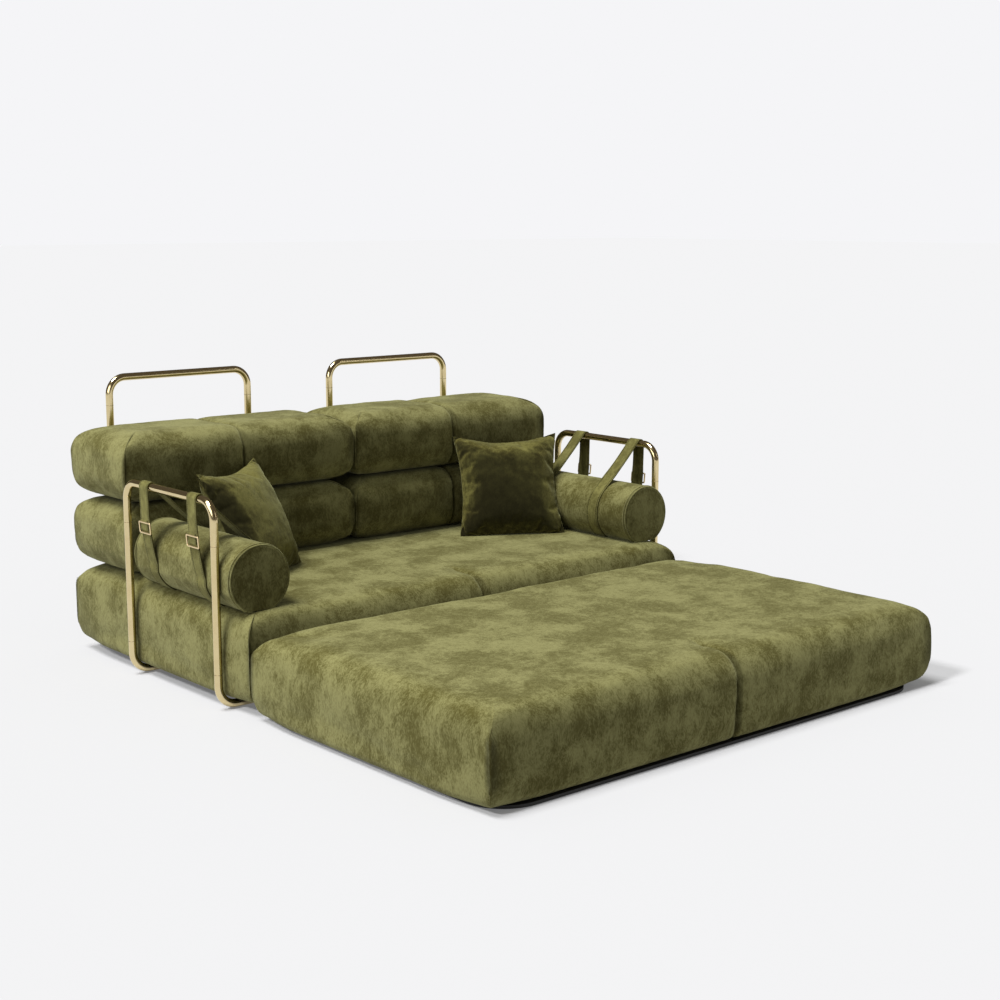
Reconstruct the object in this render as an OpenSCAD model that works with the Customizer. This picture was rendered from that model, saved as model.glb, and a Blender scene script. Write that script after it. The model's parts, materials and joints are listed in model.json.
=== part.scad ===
// Sofa bed with a tubular frame: a raised seat base with stacked back cushions,
// bolster arms held in straps, and a front section that rolls up to the seat.
// Millimetres. X runs along the seat, Y towards the back, Z up.
// The origin is on the floor at the middle of the whole object.

/* [Seat base] */
// Width of the seat base and of the front section
seat_w = 2004; // [1900:2:2300]
// Depth of the seat base
base_d = 1219; // [1150:1:1350]
// Thickness of the seat base's upholstered block
base_h = 290; // [250:1:340]
// Thickness of the black board under the seat base
board_t = 17; // [12:1:22]
// How far the board's edge stands back from the upholstery
board_inset = 44; // [42:1:60]
// How far the upholstery hangs below the board's top
base_skirt = 12; // [6:1:14]

/* [Front section] */
// Depth of the front section
section_d = 1194; // [1100:1:1300]
// Thickness of the front section's upholstered block
section_h = 286; // [250:1:340]
// Gap between the front section and the seat base
dock_gap = 6; // [3:1:20]
// Thickness of the black plinth under the front section
plinth_t = 10; // [8:1:14]
// Height of the plinth's underside above the floor
plinth_lift = 2; // [2:1:5]
// How far the plinth stands back from the upholstery at the sides and the rear
plinth_inset = 36; // [20:1:60]
// How far the plinth stands back from the upholstery at the front
plinth_front_inset = 10; // [5:1:40]
// Radius of the board's and the plinth's corners
slab_corner_r = 140; // [100:5:160]

/* [Upholstery] */
// Rounding of the upper edges, and of a back cushion's lower ones
edge_r = 95; // [70:1:110]
// Rounding of the lower edges of the seat base and the front section
low_edge_r = 30; // [25:1:60]
// Bulge of a seat block's top
seat_crown = 8; // [3:1:12]
// Bulge of a back cushion's top
cushion_crown = 7; // [3:1:12]
// Bulge of a block's front and back
side_crown = 5; // [2:1:10]
// Depth of a sewn channel
channel_depth = 9; // [4:1:14]
// Half the width of a sewn channel
channel_half = 22; // [14:1:40]
// Running gap between soft pieces that part
soft_gap = 0.3; // [0.3:0.1:2]

/* [Back cushions] */
// Depth of the back cushions
back_d = 420; // [360:1:460]
// Height of a lower back cushion
lower_back_h = 257; // [220:1:290]
// Height of an upper back cushion
upper_back_h = 255; // [220:1:290]
// Distance from the back cushions to the seat base's rear face
back_inset = 12; // [5:1:40]
// Gap between the left and right back cushions
column_gap = 3; // [1:1:10]

/* [Tube frame] */
// Outer diameter of the tube
tube_d = 28; // [24:1:32]
// Wall of the tube
tube_wall = 2; // [1.5:0.5:3]
// Bend radius at the tube's centre
bend_r = 65; // [55:1:75]
// Height of an arm bar's centre above the floor
arm_bar_z = 700; // [660:1:760]
// Gap between the upholstery and an arm frame
arm_gap = 9; // [6:1:20]
// Distance between the two legs of an arm frame, as a share of the seat base's depth
arm_span_share = 0.4758; // [0.44:0.0001:0.5]
// Distance from the seat base's rear face to an arm frame's rear leg, as a share of its depth
arm_rear_share = 0.3987; // [0.38:0.0001:0.42]
// Height of the joint between arm bar and leg
arm_split_z = 555; // [500:1:580]
// Height of a back bar's centre above the floor
back_bar_z = 1009; // [960:1:1100]
// Distance between the two legs of a back frame, as a share of the seat's width
back_span_share = 0.3044; // [0.28:0.0001:0.34]
// Distance from the middle of the sofa to the middle of a back frame, as a share of the seat's width
back_frame_share = 0.25175; // [0.23:0.00005:0.27]
// Gap between the seat base's rear face and a back frame
back_gap = 16; // [8:1:30]
// Height of the joint between back bar and leg
back_split_z = 905; // [880:1:915]
// Height of the joint between a leg and its foot bend
foot_split_z = 125; // [120:1:150]
// Straight run of an arm frame's foot under the seat base
arm_foot_run = 45; // [35:1:80]
// Straight run of a back frame's foot under the seat base
back_foot_run = 240; // [200:1:280]
// Half the length of the sleeve inside a tube joint
spigot_half = 25; // [15:1:28]

/* [Bolsters and straps] */
// Radius of a bolster
bolster_r = 112; // [100:1:116]
// Length of a bolster without its piping
bolster_l = 648; // [600:1:660]
// Rounding of a bolster's end
bolster_edge = 10; // [10:1:16]
// Radius of the piping cord
piping_r = 2.5; // [1.5:0.5:2.5]
// Distance from a bolster's axis to the side of the seat
bolster_inset = 103.5; // [103.5:0.5:130]
// Distance from the arm's rear leg to the rear end of a bolster
bolster_back = 8; // [5:1:20]
// Thickness of the strap
strap_t = 3; // [2:0.5:4]
// Width of the strap
strap_w = 60; // [40:1:70]
// Distance from the arm's rear leg to the rear strap's middle, as a share of the arm's span
strap_rear_share = 0.26; // [0.23:0.001:0.29]
// Distance between the two straps of an arm, as a share of the arm's span
strap_span_share = 0.548; // [0.48:0.001:0.56]
// Height of a buckle's middle above the floor
buckle_z = 558; // [545:1:570]
// Length of a buckle across the strap
buckle_l = 78; // [72:1:90]
// Height of a buckle along the strap
buckle_h = 43; // [36:1:50]
// Thickness of the buckle's frame
buckle_t = 6; // [5:0.5:8]
// Width of the buckle's bars
buckle_bar = 5; // [4:0.5:7]

/* [Scatter cushions] */
// Side of a scatter cushion from corner to corner
scatter_w = 430; // [380:1:450]
// Thickness at the middle of a scatter cushion
scatter_t = 140; // [90:1:160]
// How far a scatter cushion's sides draw in between its corners
scatter_draw = 20; // [10:1:30]
// Lean of a scatter cushion
scatter_tilt = 26; // [22:1:30]
// Turn of a scatter cushion towards the middle
scatter_turn = 30; // [24:1:32]
// Distance from the side of the seat to the middle of the right scatter cushion
right_scatter_inset = 388; // [388:1:440]
// Distance from the side of the seat to the middle of the left scatter cushion
left_scatter_inset = 396; // [388:1:440]

/* [Hidden frame and rollers] */
// Margin of foam round the hidden timber frame
pocket_inset = 135; // [120:1:180]
// Height of the hidden timber frame
timber_h = 90; // [60:1:110]
// Thickness of the timber rails
timber_t = 25; // [18:1:35]
// Thickness of the slats
slat_t = 12; // [9:1:16]
// Width of a slat
slat_w = 70; // [50:1:90]
// Number of slats in each block
slat_n = 11; // [6:1:14]
// Radius of a roller
roller_r = 18; // [16:1:22]
// Width of a roller
roller_w = 22; // [16:1:30]
// Radius of a roller's axle
axle_r = 4; // [3:0.5:5]
// Distance from a roller to the side of the front section
roller_inset_x = 230; // [220:1:400]
// Distance from a roller to the front section's front or rear face
roller_inset_y = 240; // [225:1:400]

/* [Clips and glides] */
// Height of a glide's sole under the tube
glide_t = 3; // [2:1:5]
// Length of a glide along the tube
glide_l = 44; // [30:1:60]
// Width of a glide
glide_w = 36; // [34:1:44]
// Thickness of a clip's sheet
clip_t = 1.6; // [1:0.1:2.4]
// Width of a clip along the tube
clip_w = 24; // [18:1:32]
// Length of a clip's ears
ear_l = 16; // [14:1:22]
// Radius of a wood screw
screw_r = 2.2; // [1.8:0.1:2.6]
// Depth of a screw in the board
screw_in = 12; // [8:1:14]

/* [Hidden] */
$fn = 48;

velvet = [0.42, 0.42, 0.22];
brass = [0.85, 0.72, 0.48];
black = [0.1, 0.1, 0.1];
pine = [0.8, 0.65, 0.42];
zinc = [0.7, 0.7, 0.72];

// One overrun serves every cut
cut = 1;
// Clearance between fixed pieces that slip over each other
fit_gap = 0.05;

// Tube frame
tube_r = tube_d / 2;
bore_r = tube_r - tube_wall;
floor_z = glide_t + tube_r;
base_z = glide_t + tube_d + board_t;
seat_z = base_z + base_h;

// Front to back: the whole depth is centred on the origin
total_d = tube_d + back_gap + base_d + dock_gap + section_d;
section_front = -total_d / 2;
section_rear = section_front + section_d;
base_front = section_rear + dock_gap;
base_rear = base_front + base_d;
back_frame_y = base_rear + back_gap + tube_r;
arm_span = arm_span_share * base_d;
arm_rear_y = base_rear - arm_rear_share * base_d;
arm_front_y = arm_rear_y - arm_span;
back_span = back_span_share * seat_w;
back_frame_x = back_frame_share * seat_w;
arm_x = seat_w / 2 + arm_gap + tube_r;
back_rear = base_rear - back_inset;
back_front = back_rear - back_d;
section_z = plinth_lift + plinth_t;
base_mid = (base_front + base_rear) / 2;
section_mid = (section_front + section_rear) / 2;

// Soft block profile: the long edges follow a squared arc
softness = 2.3;
arc_steps = 5;
arc_angles = [for (i = [0:arc_steps]) 90 * i / arc_steps];
function arc_in(a) = 1 - pow(sin(a), 2 / softness);
function arc_up(a) = 1 - pow(cos(a), 2 / softness);
top_shares = [-0.5, 0, 0.5];
panel_shares = [0.33, 0.67];
channel_shares = [-1, -0.5, 0, 0.5, 1];
ring_n = 4 * (arc_steps + 1) + 2 * len(top_shares);

// One station across a block: depth side (-1 front, 1 rear), inset share, height side (-1 low, 1 high)
ring_low = [for (a = arc_angles) [arc_in(a), arc_up(a)]];
ring_up = [for (i = [arc_steps:-1:0]) ring_low[i]];
function profile(top_side) = top_side
    ? [for (a = arc_angles) [1 - pow(cos(a), 2 / softness), 1 - pow(sin(a), 2 / softness)]]
    : ring_low;
front_low = [for (p = profile(false)) [-1, p[0], -1, p[1], 0]];
front_top = [for (p = profile(true)) [-1, p[0], 1, p[1], 0]];
back_top = [for (i = [arc_steps:-1:0]) [1, profile(true)[i][0], 1, profile(true)[i][1], 0]];
back_low = [for (i = [arc_steps:-1:0]) [1, profile(false)[i][0], -1, profile(false)[i][1], 0]];
top_mid = [for (s = top_shares) [0, 1, 1, 0, s]];
low_mid = [for (i = [len(top_shares) - 1:-1:0]) [0, 1, -1, 0, top_shares[i]]];
ring = concat(front_low, front_top, top_mid, back_top, back_low, low_mid);

// Distance of a point from its panel's middle, as a share, between the ends and the channel
function panel_u(x, w, c) = x < c ? (x - c / 2) / (c / 2) : (x - (w + c) / 2) / ((w - c) / 2);
function puff(x, w, c) = max(0, 1 - pow(panel_u(x, w, c), 2));
function groove(x, c) = let (t = min(1, abs(x - c) / channel_half)) (1 + cos(180 * t)) / 2;

// A point of a soft block: w along X, d along Y, h high, channel centre c, all round or on the front only
function block_point(x, q, w, d, h, c, crown, round_channel, panels, low_r) =
    let (low = q[2] < 0,
        r = low ? low_r : edge_r,
        inset = q[1] * r,
        rise = min(r * arc_share(min(1, min(x, w - x) / r)), h / 2),
        z_ring = q[3] * r,
        z_side = max(z_ring, rise),
        p = panels ? puff(x, w, c) : puff(x, w, w),
        g = channel_depth * groove(x, c),
        half = d / 2 - side_crown,
        edge = 1 - q[1],
        y_raw = q[0] == 0 ? q[4] * (half - edge_r) : q[0] * (half - inset + side_crown * p * edge),
        y_share = q[0] == 0 ? q[4] * (half - edge_r) / (half - edge_r) : 1,
        swell = q[0] == 0 ? 1 - pow(y_share, 2) : 0,
        z_top = h - crown - z_side + crown * p * swell,
        z_raw = low ? z_side : z_top,
        pull = round_channel ? g : (q[0] < 0 ? g * edge : 0),
        y = y_raw * (1 - pull / (d / 2)),
        z = round_channel ? h / 2 + (z_raw - h / 2) * (1 - (low ? 0 : g / (h / 2))) : z_raw)
    [x, y, z];

// Height share of the end rounding at an inset share
function arc_share(e) = e >= 1 ? 0 : 1 - pow(1 - pow(1 - e, softness), 1 / softness);

function stations(w, c) = let (r = edge_r)
    concat([for (i = [arc_steps:-1:0]) ring_low[i][0] * r],
        [for (s = panel_shares) r + s * (c - channel_half - r)],
        [for (s = channel_shares) c + s * channel_half],
        [for (s = panel_shares) c + channel_half + s * (w - r - c - channel_half)],
        [for (i = [0:arc_steps]) w - ring_low[i][0] * r]);

function diagonal_up(i, j, n) = let (rising = (j >= arc_steps + 1 && j < 2 * arc_steps + 2)
        || (j >= 3 * arc_steps + 3 + len(top_shares) && j < 4 * arc_steps + 4 + len(top_shares)))
    (i < n / 2) ? rising : !rising;

// Squared-off upholstered block with a crowned top, from its lower left front corner's box
module soft_block(w, d, h, c, crown, round_channel, panels, low_r) {
    xs = stations(w, c);
    n = len(xs);
    m = ring_n;
    points = [for (x = xs, q = ring)
        block_point(x, q, w, d, h, c, crown, round_channel, panels, low_r)];
    sides = [for (i = [0:n - 2], j = [0:m - 1])
        let (a = i * m + j, b = i * m + (j + 1) % m, s = a + m, t = b + m)
        each diagonal_up(i, j, n) ? [[a, b, t], [a, t, s]] : [[a, b, s], [b, t, s]]];
    half_n = m / 2;
    left = [for (k = [0:half_n - 2])
        let (t = arc_steps + 1 + k, b = (arc_steps - k + m) % m, b2 = (arc_steps - k - 1 + m) % m)
        each [[t, b, b2], [t, b2, t + 1]]];
    right = [for (f = left) [for (k = [2:-1:0]) f[k] + (n - 1) * m]];
    translate([-w / 2, 0, 0]) polyhedron(points, concat(sides, left, right), convexity = 4);
}

// Height of the seat base's crowned top under a point of the seat
crown_along = [for (x = stations(seat_w, seat_w / 2)) [x - seat_w / 2, puff(x, seat_w, seat_w)]];
crown_half = base_d / 2 - side_crown - edge_r;
crown_across = [for (s = concat([-1], top_shares, [1])) [s * crown_half, 1 - s * s]];
function seat_top_at(x, y) = seat_z - seat_crown
    + seat_crown * lookup(x, crown_along) * lookup(y - base_mid, crown_across);

module seat_block(d, h) {
    soft_block(seat_w, d, h, seat_w / 2, seat_crown, false, false, low_edge_r);
}

pocket_w = seat_w - 2 * pocket_inset;
pocket_h = timber_h + slat_t;
module pocket(d) {
    translate([-pocket_w / 2, -d / 2 + pocket_inset, -cut])
        cube([pocket_w, d - 2 * pocket_inset, pocket_h + cut]);
}

// The base's upholstery hangs below the board's top, so that the board lies in it
module base_cover() {
    w = seat_w - 2 * board_inset + 2 * soft_gap;
    d = base_d - 2 * board_inset + 2 * soft_gap;
    color(velvet) translate([0, base_mid, base_z]) difference() {
        translate([0, 0, -base_skirt]) seat_block(base_d, base_h + base_skirt);
        pocket(base_d);
        translate([-w / 2, -d / 2, -base_skirt - cut]) cube([w, d, base_skirt + cut]);
    }
}

module section_cover() {
    color(velvet) translate([0, section_mid, section_z]) difference() {
        seat_block(section_d, section_h);
        pocket(section_d);
    }
}

// Timber ladder frame that fills a block's pocket
module timber_frame(d) {
    frame_d = d - 2 * pocket_inset;
    difference() {
        translate([-pocket_w / 2, -frame_d / 2, 0]) cube([pocket_w, frame_d, timber_h]);
        for (side = [-1, 1]) {
            bay_w = (pocket_w - 3 * timber_t) / 2;
            translate([side * (bay_w + timber_t) / 2 - bay_w / 2, -frame_d / 2 + timber_t, -cut])
                cube([bay_w, frame_d - 2 * timber_t, timber_h + 2 * cut]);
        }
    }
}

module slat_row(d) {
    slat_l = d - 2 * pocket_inset;
    pitch = (pocket_w - slat_w) / (slat_n - 1);
    for (i = [0:slat_n - 1])
        translate([-pocket_w / 2 + i * pitch, -slat_l / 2, timber_h]) cube([slat_w, slat_l, slat_t]);
}

module base_timber_frame() { color(pine) translate([0, base_mid, base_z]) timber_frame(base_d); }
module base_slats() { color(pine) translate([0, base_mid, base_z]) slat_row(base_d); }
module section_timber_frame() { color(pine) translate([0, section_mid, section_z]) timber_frame(section_d); }
module section_slats() { color(pine) translate([0, section_mid, section_z]) slat_row(section_d); }

// Clips hold the board to the rails and the back feet
clip_shares = [-0.35, 0, 0.35];
rail_l = 2 * (arm_x - bend_r - arm_foot_run);
back_foot_end = back_frame_y - bend_r - back_foot_run;
back_feet_x = [for (side = [-1, 1], leg = [-1, 1]) side * back_frame_x + leg * back_span / 2];
back_clip_y = back_foot_end + clip_w;
rail_clips = [for (y = [arm_front_y, arm_rear_y], s = clip_shares) [s * rail_l, y]];
foot_clips = [for (x = back_feet_x) [x, back_clip_y]];
clip_r = tube_r + fit_gap;
screw_off = clip_r + clip_t + ear_l / 2;
rail_screws = [for (p = rail_clips, s = [-1, 1]) [p[0], p[1] + s * screw_off]];
foot_screws = [for (p = foot_clips, s = [-1, 1]) [p[0] + s * screw_off, p[1]]];
board_z = base_z - board_t;

// A flat slab with rounded corners
module slab(w, d, t) {
    linear_extrude(t) union() {
        square([w - 2 * slab_corner_r, d], center = true);
        square([w, d - 2 * slab_corner_r], center = true);
        for (sx = [-1, 1], sy = [-1, 1])
            translate([sx * (w / 2 - slab_corner_r), sy * (d / 2 - slab_corner_r)]) circle(slab_corner_r);
    }
}

module base_board() {
    color(black) difference() {
        translate([0, base_mid, board_z]) slab(seat_w - 2 * board_inset, base_d - 2 * board_inset, board_t);
        for (p = concat(rail_screws, foot_screws))
            translate([p[0], p[1], board_z - cut]) cylinder(r = screw_r + fit_gap, h = screw_in + cut);
    }
}

// Bent clip round the tube, ears flat against the board
module saddle_clip() {
    rotate([90, 0, 0]) translate([0, 0, -clip_w / 2]) difference() {
        linear_extrude(clip_w) difference() {
            union() {
                circle(clip_r + clip_t);
                translate([-clip_r - clip_t, 0]) square([2 * (clip_r + clip_t), tube_r]);
                translate([-clip_r - clip_t - ear_l, tube_r - clip_t])
                    square([2 * (clip_r + clip_t + ear_l), clip_t]);
            }
            circle(clip_r);
            translate([-clip_r, 0]) square([2 * clip_r, 2 * tube_r]);
        }
        for (s = [-1, 1])
            translate([s * screw_off, 0, clip_w / 2]) rotate([90, 0, 0])
                cylinder(r = screw_r + fit_gap, h = 4 * tube_r, center = true);
    }
}

module saddle_clips() {
    color(zinc) {
        for (p = rail_clips) translate([p[0], p[1], floor_z]) rotate([0, 0, 90]) saddle_clip();
        for (p = foot_clips) translate([p[0], p[1], floor_z]) saddle_clip();
    }
}

head_r = 2 * screw_r;
head_t = screw_r;
module wood_screw() {
    cylinder(r = screw_r, h = clip_t + screw_in - cut);
    translate([0, 0, -head_t]) cylinder(r = head_r, h = head_t);
}

module clip_screws() {
    color(zinc) for (p = concat(rail_screws, foot_screws))
        translate([p[0], p[1], board_z - clip_t]) wood_screw();
}

// Hollow tube along Z
module pipe(l) {
    difference() {
        cylinder(r = tube_r, h = l);
        translate([0, 0, -cut]) cylinder(r = bore_r, h = l + 2 * cut);
    }
}

// Quarter bend in the XZ plane, from start degrees on
module elbow(start) {
    rotate([90, 0, 0]) rotate([0, 0, start]) rotate_extrude(angle = 90)
        translate([bend_r, 0]) difference() {
            circle(tube_r);
            circle(bore_r);
        }
}

// Bar with two bends and two short legs, in the XZ plane
module bent_bar(span, drop) {
    leg = drop - bend_r;
    for (x = [0, span]) translate([x, 0, 0]) pipe(leg);
    translate([bend_r, 0, leg]) elbow(90);
    translate([span - bend_r, 0, leg]) elbow(0);
    translate([bend_r, 0, drop]) rotate([0, 90, 0]) pipe(span - 2 * bend_r);
}

// Foot that turns a leg inwards on the floor, towards +X
module foot_bend(run) {
    translate([0, 0, floor_z + bend_r]) pipe(foot_split_z - floor_z - bend_r);
    translate([bend_r, 0, floor_z + bend_r]) elbow(180);
    translate([bend_r, 0, floor_z]) rotate([0, 90, 0]) pipe(run);
}

module arm_bar(side) {
    color(brass) translate([side * arm_x, arm_front_y, arm_split_z]) rotate([0, 0, 90])
        bent_bar(arm_span, arm_bar_z - arm_split_z);
}

module arm_legs(side) {
    color(brass) for (y = [arm_front_y, arm_rear_y])
        translate([side * arm_x, y, foot_split_z]) pipe(arm_split_z - foot_split_z);
}

module arm_feet(side) {
    color(brass) for (y = [arm_front_y, arm_rear_y])
        translate([side * arm_x, y, 0]) rotate([0, 0, side > 0 ? 180 : 0]) foot_bend(arm_foot_run);
}

module cross_rail(y) {
    color(brass) translate([-rail_l / 2, y, floor_z]) rotate([0, 90, 0]) pipe(rail_l);
}

module back_bar(side) {
    color(brass) translate([side * back_frame_x - back_span / 2, back_frame_y, back_split_z])
        bent_bar(back_span, back_bar_z - back_split_z);
}

module back_legs(side) {
    color(brass) for (leg = [-1, 1])
        translate([side * back_frame_x + leg * back_span / 2, back_frame_y, foot_split_z])
            pipe(back_split_z - foot_split_z);
}

module back_feet(side) {
    color(brass) for (leg = [-1, 1])
        translate([side * back_frame_x + leg * back_span / 2, back_frame_y, 0])
            rotate([0, 0, -90]) foot_bend(back_foot_run);
}

module left_arm_bar() { arm_bar(-1); }
module right_arm_bar() { arm_bar(1); }
module left_arm_legs() { arm_legs(-1); }
module right_arm_legs() { arm_legs(1); }
module left_arm_feet() { arm_feet(-1); }
module right_arm_feet() { arm_feet(1); }
module front_cross_rail() { cross_rail(arm_front_y); }
module rear_cross_rail() { cross_rail(arm_rear_y); }
module left_back_bar() { back_bar(-1); }
module right_back_bar() { back_bar(1); }
module left_back_legs() { back_legs(-1); }
module right_back_legs() { back_legs(1); }
module left_back_feet() { back_feet(-1); }
module right_back_feet() { back_feet(1); }

// Sleeves that join the tubes end to end
module sleeve() {
    difference() {
        cylinder(r = bore_r - fit_gap, h = 2 * spigot_half, center = true);
        cylinder(r = bore_r - tube_wall, h = 2 * spigot_half + 2 * cut, center = true);
    }
}

module tube_sleeves() {
    color(zinc) {
        for (side = [-1, 1], y = [arm_front_y, arm_rear_y]) {
            for (z = [foot_split_z, arm_split_z]) translate([side * arm_x, y, z]) sleeve();
            translate([side * rail_l / 2, y, floor_z]) rotate([0, 90, 0]) sleeve();
        }
        for (x = back_feet_x, z = [foot_split_z, back_split_z])
            translate([x, back_frame_y, z]) sleeve();
    }
}

plug_t = 2 * tube_wall;
module foot_plugs() {
    color(black) for (x = back_feet_x) translate([x, back_foot_end, floor_z]) rotate([90, 0, 0]) {
        cylinder(r = tube_r, h = plug_t / 2);
        translate([0, 0, -spigot_half]) cylinder(r = bore_r - fit_gap, h = spigot_half + plug_t / 4);
    }
}

// Saddle-shaped glide under a tube that runs along Y
glide_h = glide_t + tube_r / 2;
module glide() {
    difference() {
        translate([-glide_w / 2, -glide_l / 2, 0]) cube([glide_w, glide_l, glide_h]);
        translate([0, 0, floor_z]) rotate([90, 0, 0])
            cylinder(r = tube_r + fit_gap, h = glide_l + 2 * cut, center = true);
    }
}

glide_shares = [-0.42, -0.17, 0.17, 0.42];
module floor_glides() {
    color(black) {
        for (y = [arm_front_y, arm_rear_y], s = glide_shares)
            translate([s * rail_l, y, 0]) rotate([0, 0, 90]) glide();
        for (x = back_feet_x) translate([x, back_frame_y - bend_r - glide_l / 2, 0]) glide();
        for (x = back_feet_x) translate([x, back_clip_y + clip_w + glide_l / 2, 0]) glide();
    }
}

// Bolsters lie on the seat in their strap loops
bolster_x = seat_w / 2 - bolster_inset;
bolster_z = seat_top_at(bolster_x, base_mid) + 2 * soft_gap + strap_t + bolster_r;
bolster_rear_y = arm_rear_y - bolster_back - piping_r;

// Centres of the two piping cords on a bolster's rounded end
piping_angles = [45, 90];
function piping_at(a) = [bolster_r - bolster_edge + bolster_edge * cos(a), bolster_edge - bolster_edge * sin(a)];

module bolster_profile() {
    difference() {
        union() {
            translate([0, bolster_edge]) square([bolster_r, bolster_l - 2 * bolster_edge]);
            square([bolster_r - bolster_edge, bolster_l]);
            for (y = [bolster_edge, bolster_l - bolster_edge])
                translate([bolster_r - bolster_edge, y]) circle(bolster_edge);
        }
        for (a = piping_angles) {
            translate(piping_at(a)) circle(piping_r + fit_gap);
            translate([piping_at(a)[0], bolster_l - piping_at(a)[1]]) circle(piping_r + fit_gap);
        }
    }
}

module at_bolster(side) {
    translate([side * bolster_x, bolster_rear_y, bolster_z]) rotate([90, 0, 0]) children();
}

module bolster(side) {
    color(velvet) at_bolster(side) rotate_extrude() bolster_profile();
}

module bolster_piping(side) {
    color(velvet) at_bolster(side) for (a = piping_angles) {
        rotate_extrude() translate(piping_at(a)) circle(piping_r);
        rotate_extrude() translate([piping_at(a)[0], bolster_l - piping_at(a)[1]]) circle(piping_r);
    }
}

module left_bolster() { bolster(-1); }
module right_bolster() { bolster(1); }
module left_bolster_piping() { bolster_piping(-1); }
module right_bolster_piping() { bolster_piping(1); }

// Strap belt round the arm bar and the bolster, drawn in X and Z for the right arm
bar_at = [arm_x, arm_bar_z];
roll_at = [bolster_x, bolster_z];
bar_wrap = tube_r + soft_gap;
roll_wrap = bolster_r + soft_gap;
belt_dx = roll_at[0] - bar_at[0];
belt_dz = roll_at[1] - bar_at[1];
belt_l = sqrt(belt_dx * belt_dx + belt_dz * belt_dz);
belt_turn = acos((bar_wrap - roll_wrap) / belt_l);
belt_angle = atan2(belt_dz, belt_dx);
function belt_normal(s) = [cos(belt_angle + s * belt_turn), sin(belt_angle + s * belt_turn)];
function bar_tangent(s, extra) = bar_at + (bar_wrap + extra) * belt_normal(s);
function roll_tangent(s, extra) = roll_at + (roll_wrap + extra) * belt_normal(s);

module belt(extra) {
    translate(bar_at) circle(bar_wrap + extra);
    translate(roll_at) circle(roll_wrap + extra);
    polygon([bar_tangent(-1, extra), roll_tangent(-1, extra), roll_tangent(1, extra), bar_tangent(1, extra)]);
}

strap_rear_y = arm_rear_y - strap_rear_share * arm_span;
strap_front_y = strap_rear_y - strap_span_share * arm_span;

// Turns a drawing in X and Z into a piece of the given width along Y, on the left or right arm
module arm_slice(side, y, width) {
    mirror([side > 0 ? 0 : 1, 0, 0])
        translate([0, y + width / 2, 0]) rotate([90, 0, 0]) linear_extrude(width) children();
}

module strap(side, y) {
    color(velvet) arm_slice(side, y, strap_w) difference() {
        belt(strap_t);
        belt(0);
    }
}

module left_front_strap() { strap(-1, strap_front_y); }
module left_rear_strap() { strap(-1, strap_rear_y); }
module right_front_strap() { strap(1, strap_front_y); }
module right_rear_strap() { strap(1, strap_rear_y); }

// Buckles lie on the outer run, the strap's free end tucked under the upper bar
outer_dir = belt_normal(1)[0] > 0 ? 1 : -1;
run_top = bar_tangent(outer_dir, strap_t);
run_low = roll_tangent(outer_dir, strap_t);
run_share = (run_top[1] - buckle_z) / (run_top[1] - run_low[1]);
buckle_at = run_top + run_share * (run_low - run_top);
run_lean = atan2(run_top[0] - run_low[0], run_top[1] - run_low[1]);
tab_w = buckle_l - 2 * buckle_bar - 2 * strap_t;
tab_low = buckle_h / 2 - buckle_bar - strap_t;
tab_high = buckle_h / 2 + 2 * strap_t;

// Frame of a buckle: X out from the strap, Y across it, Z up along it
module at_buckle(side, y) {
    mirror([side > 0 ? 0 : 1, 0, 0])
        translate([buckle_at[0], y, buckle_at[1]]) rotate([0, run_lean, 0]) children();
}

module buckle_frame() {
    difference() {
        translate([fit_gap, -buckle_l / 2, -buckle_h / 2]) cube([buckle_t, buckle_l, buckle_h]);
        translate([-cut, -buckle_l / 2 + buckle_bar, -buckle_h / 2 + buckle_bar])
            cube([buckle_t + 2 * cut, buckle_l - 2 * buckle_bar, buckle_h - 2 * buckle_bar]);
        translate([-cut, -tab_w / 2 - fit_gap, 0])
            cube([cut + strap_t + 2 * fit_gap, tab_w + 2 * fit_gap, buckle_h]);
    }
}

module strap_tab() {
    translate([fit_gap, -tab_w / 2, -tab_low]) cube([strap_t, tab_w, tab_low + tab_high]);
}

module left_buckles() { color(brass) for (y = [strap_front_y, strap_rear_y]) at_buckle(-1, y) buckle_frame(); }
module right_buckles() { color(brass) for (y = [strap_front_y, strap_rear_y]) at_buckle(1, y) buckle_frame(); }
module left_strap_tabs() { color(velvet) for (y = [strap_front_y, strap_rear_y]) at_buckle(-1, y) strap_tab(); }
module right_strap_tabs() { color(velvet) for (y = [strap_front_y, strap_rear_y]) at_buckle(1, y) strap_tab(); }

// Back cushions stand in two columns of two
back_w = (seat_w - column_gap) / 2;
lower_back_z = seat_top_at(column_gap / 2 + edge_r, back_front + edge_r) + soft_gap;
upper_back_z = lower_back_z + lower_back_h + soft_gap;
module back_cushion(side, z, h) {
    color(velvet) translate([side * (back_w + column_gap) / 2, back_front + back_d / 2, z])
        soft_block(back_w, back_d, h, back_w / 2, cushion_crown, true, true, edge_r);
}

module left_lower_back_cushion() { back_cushion(-1, lower_back_z, lower_back_h); }
module right_lower_back_cushion() { back_cushion(1, lower_back_z, lower_back_h); }
module left_upper_back_cushion() { back_cushion(-1, upper_back_z, upper_back_h); }
module right_upper_back_cushion() { back_cushion(1, upper_back_z, upper_back_h); }

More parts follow.
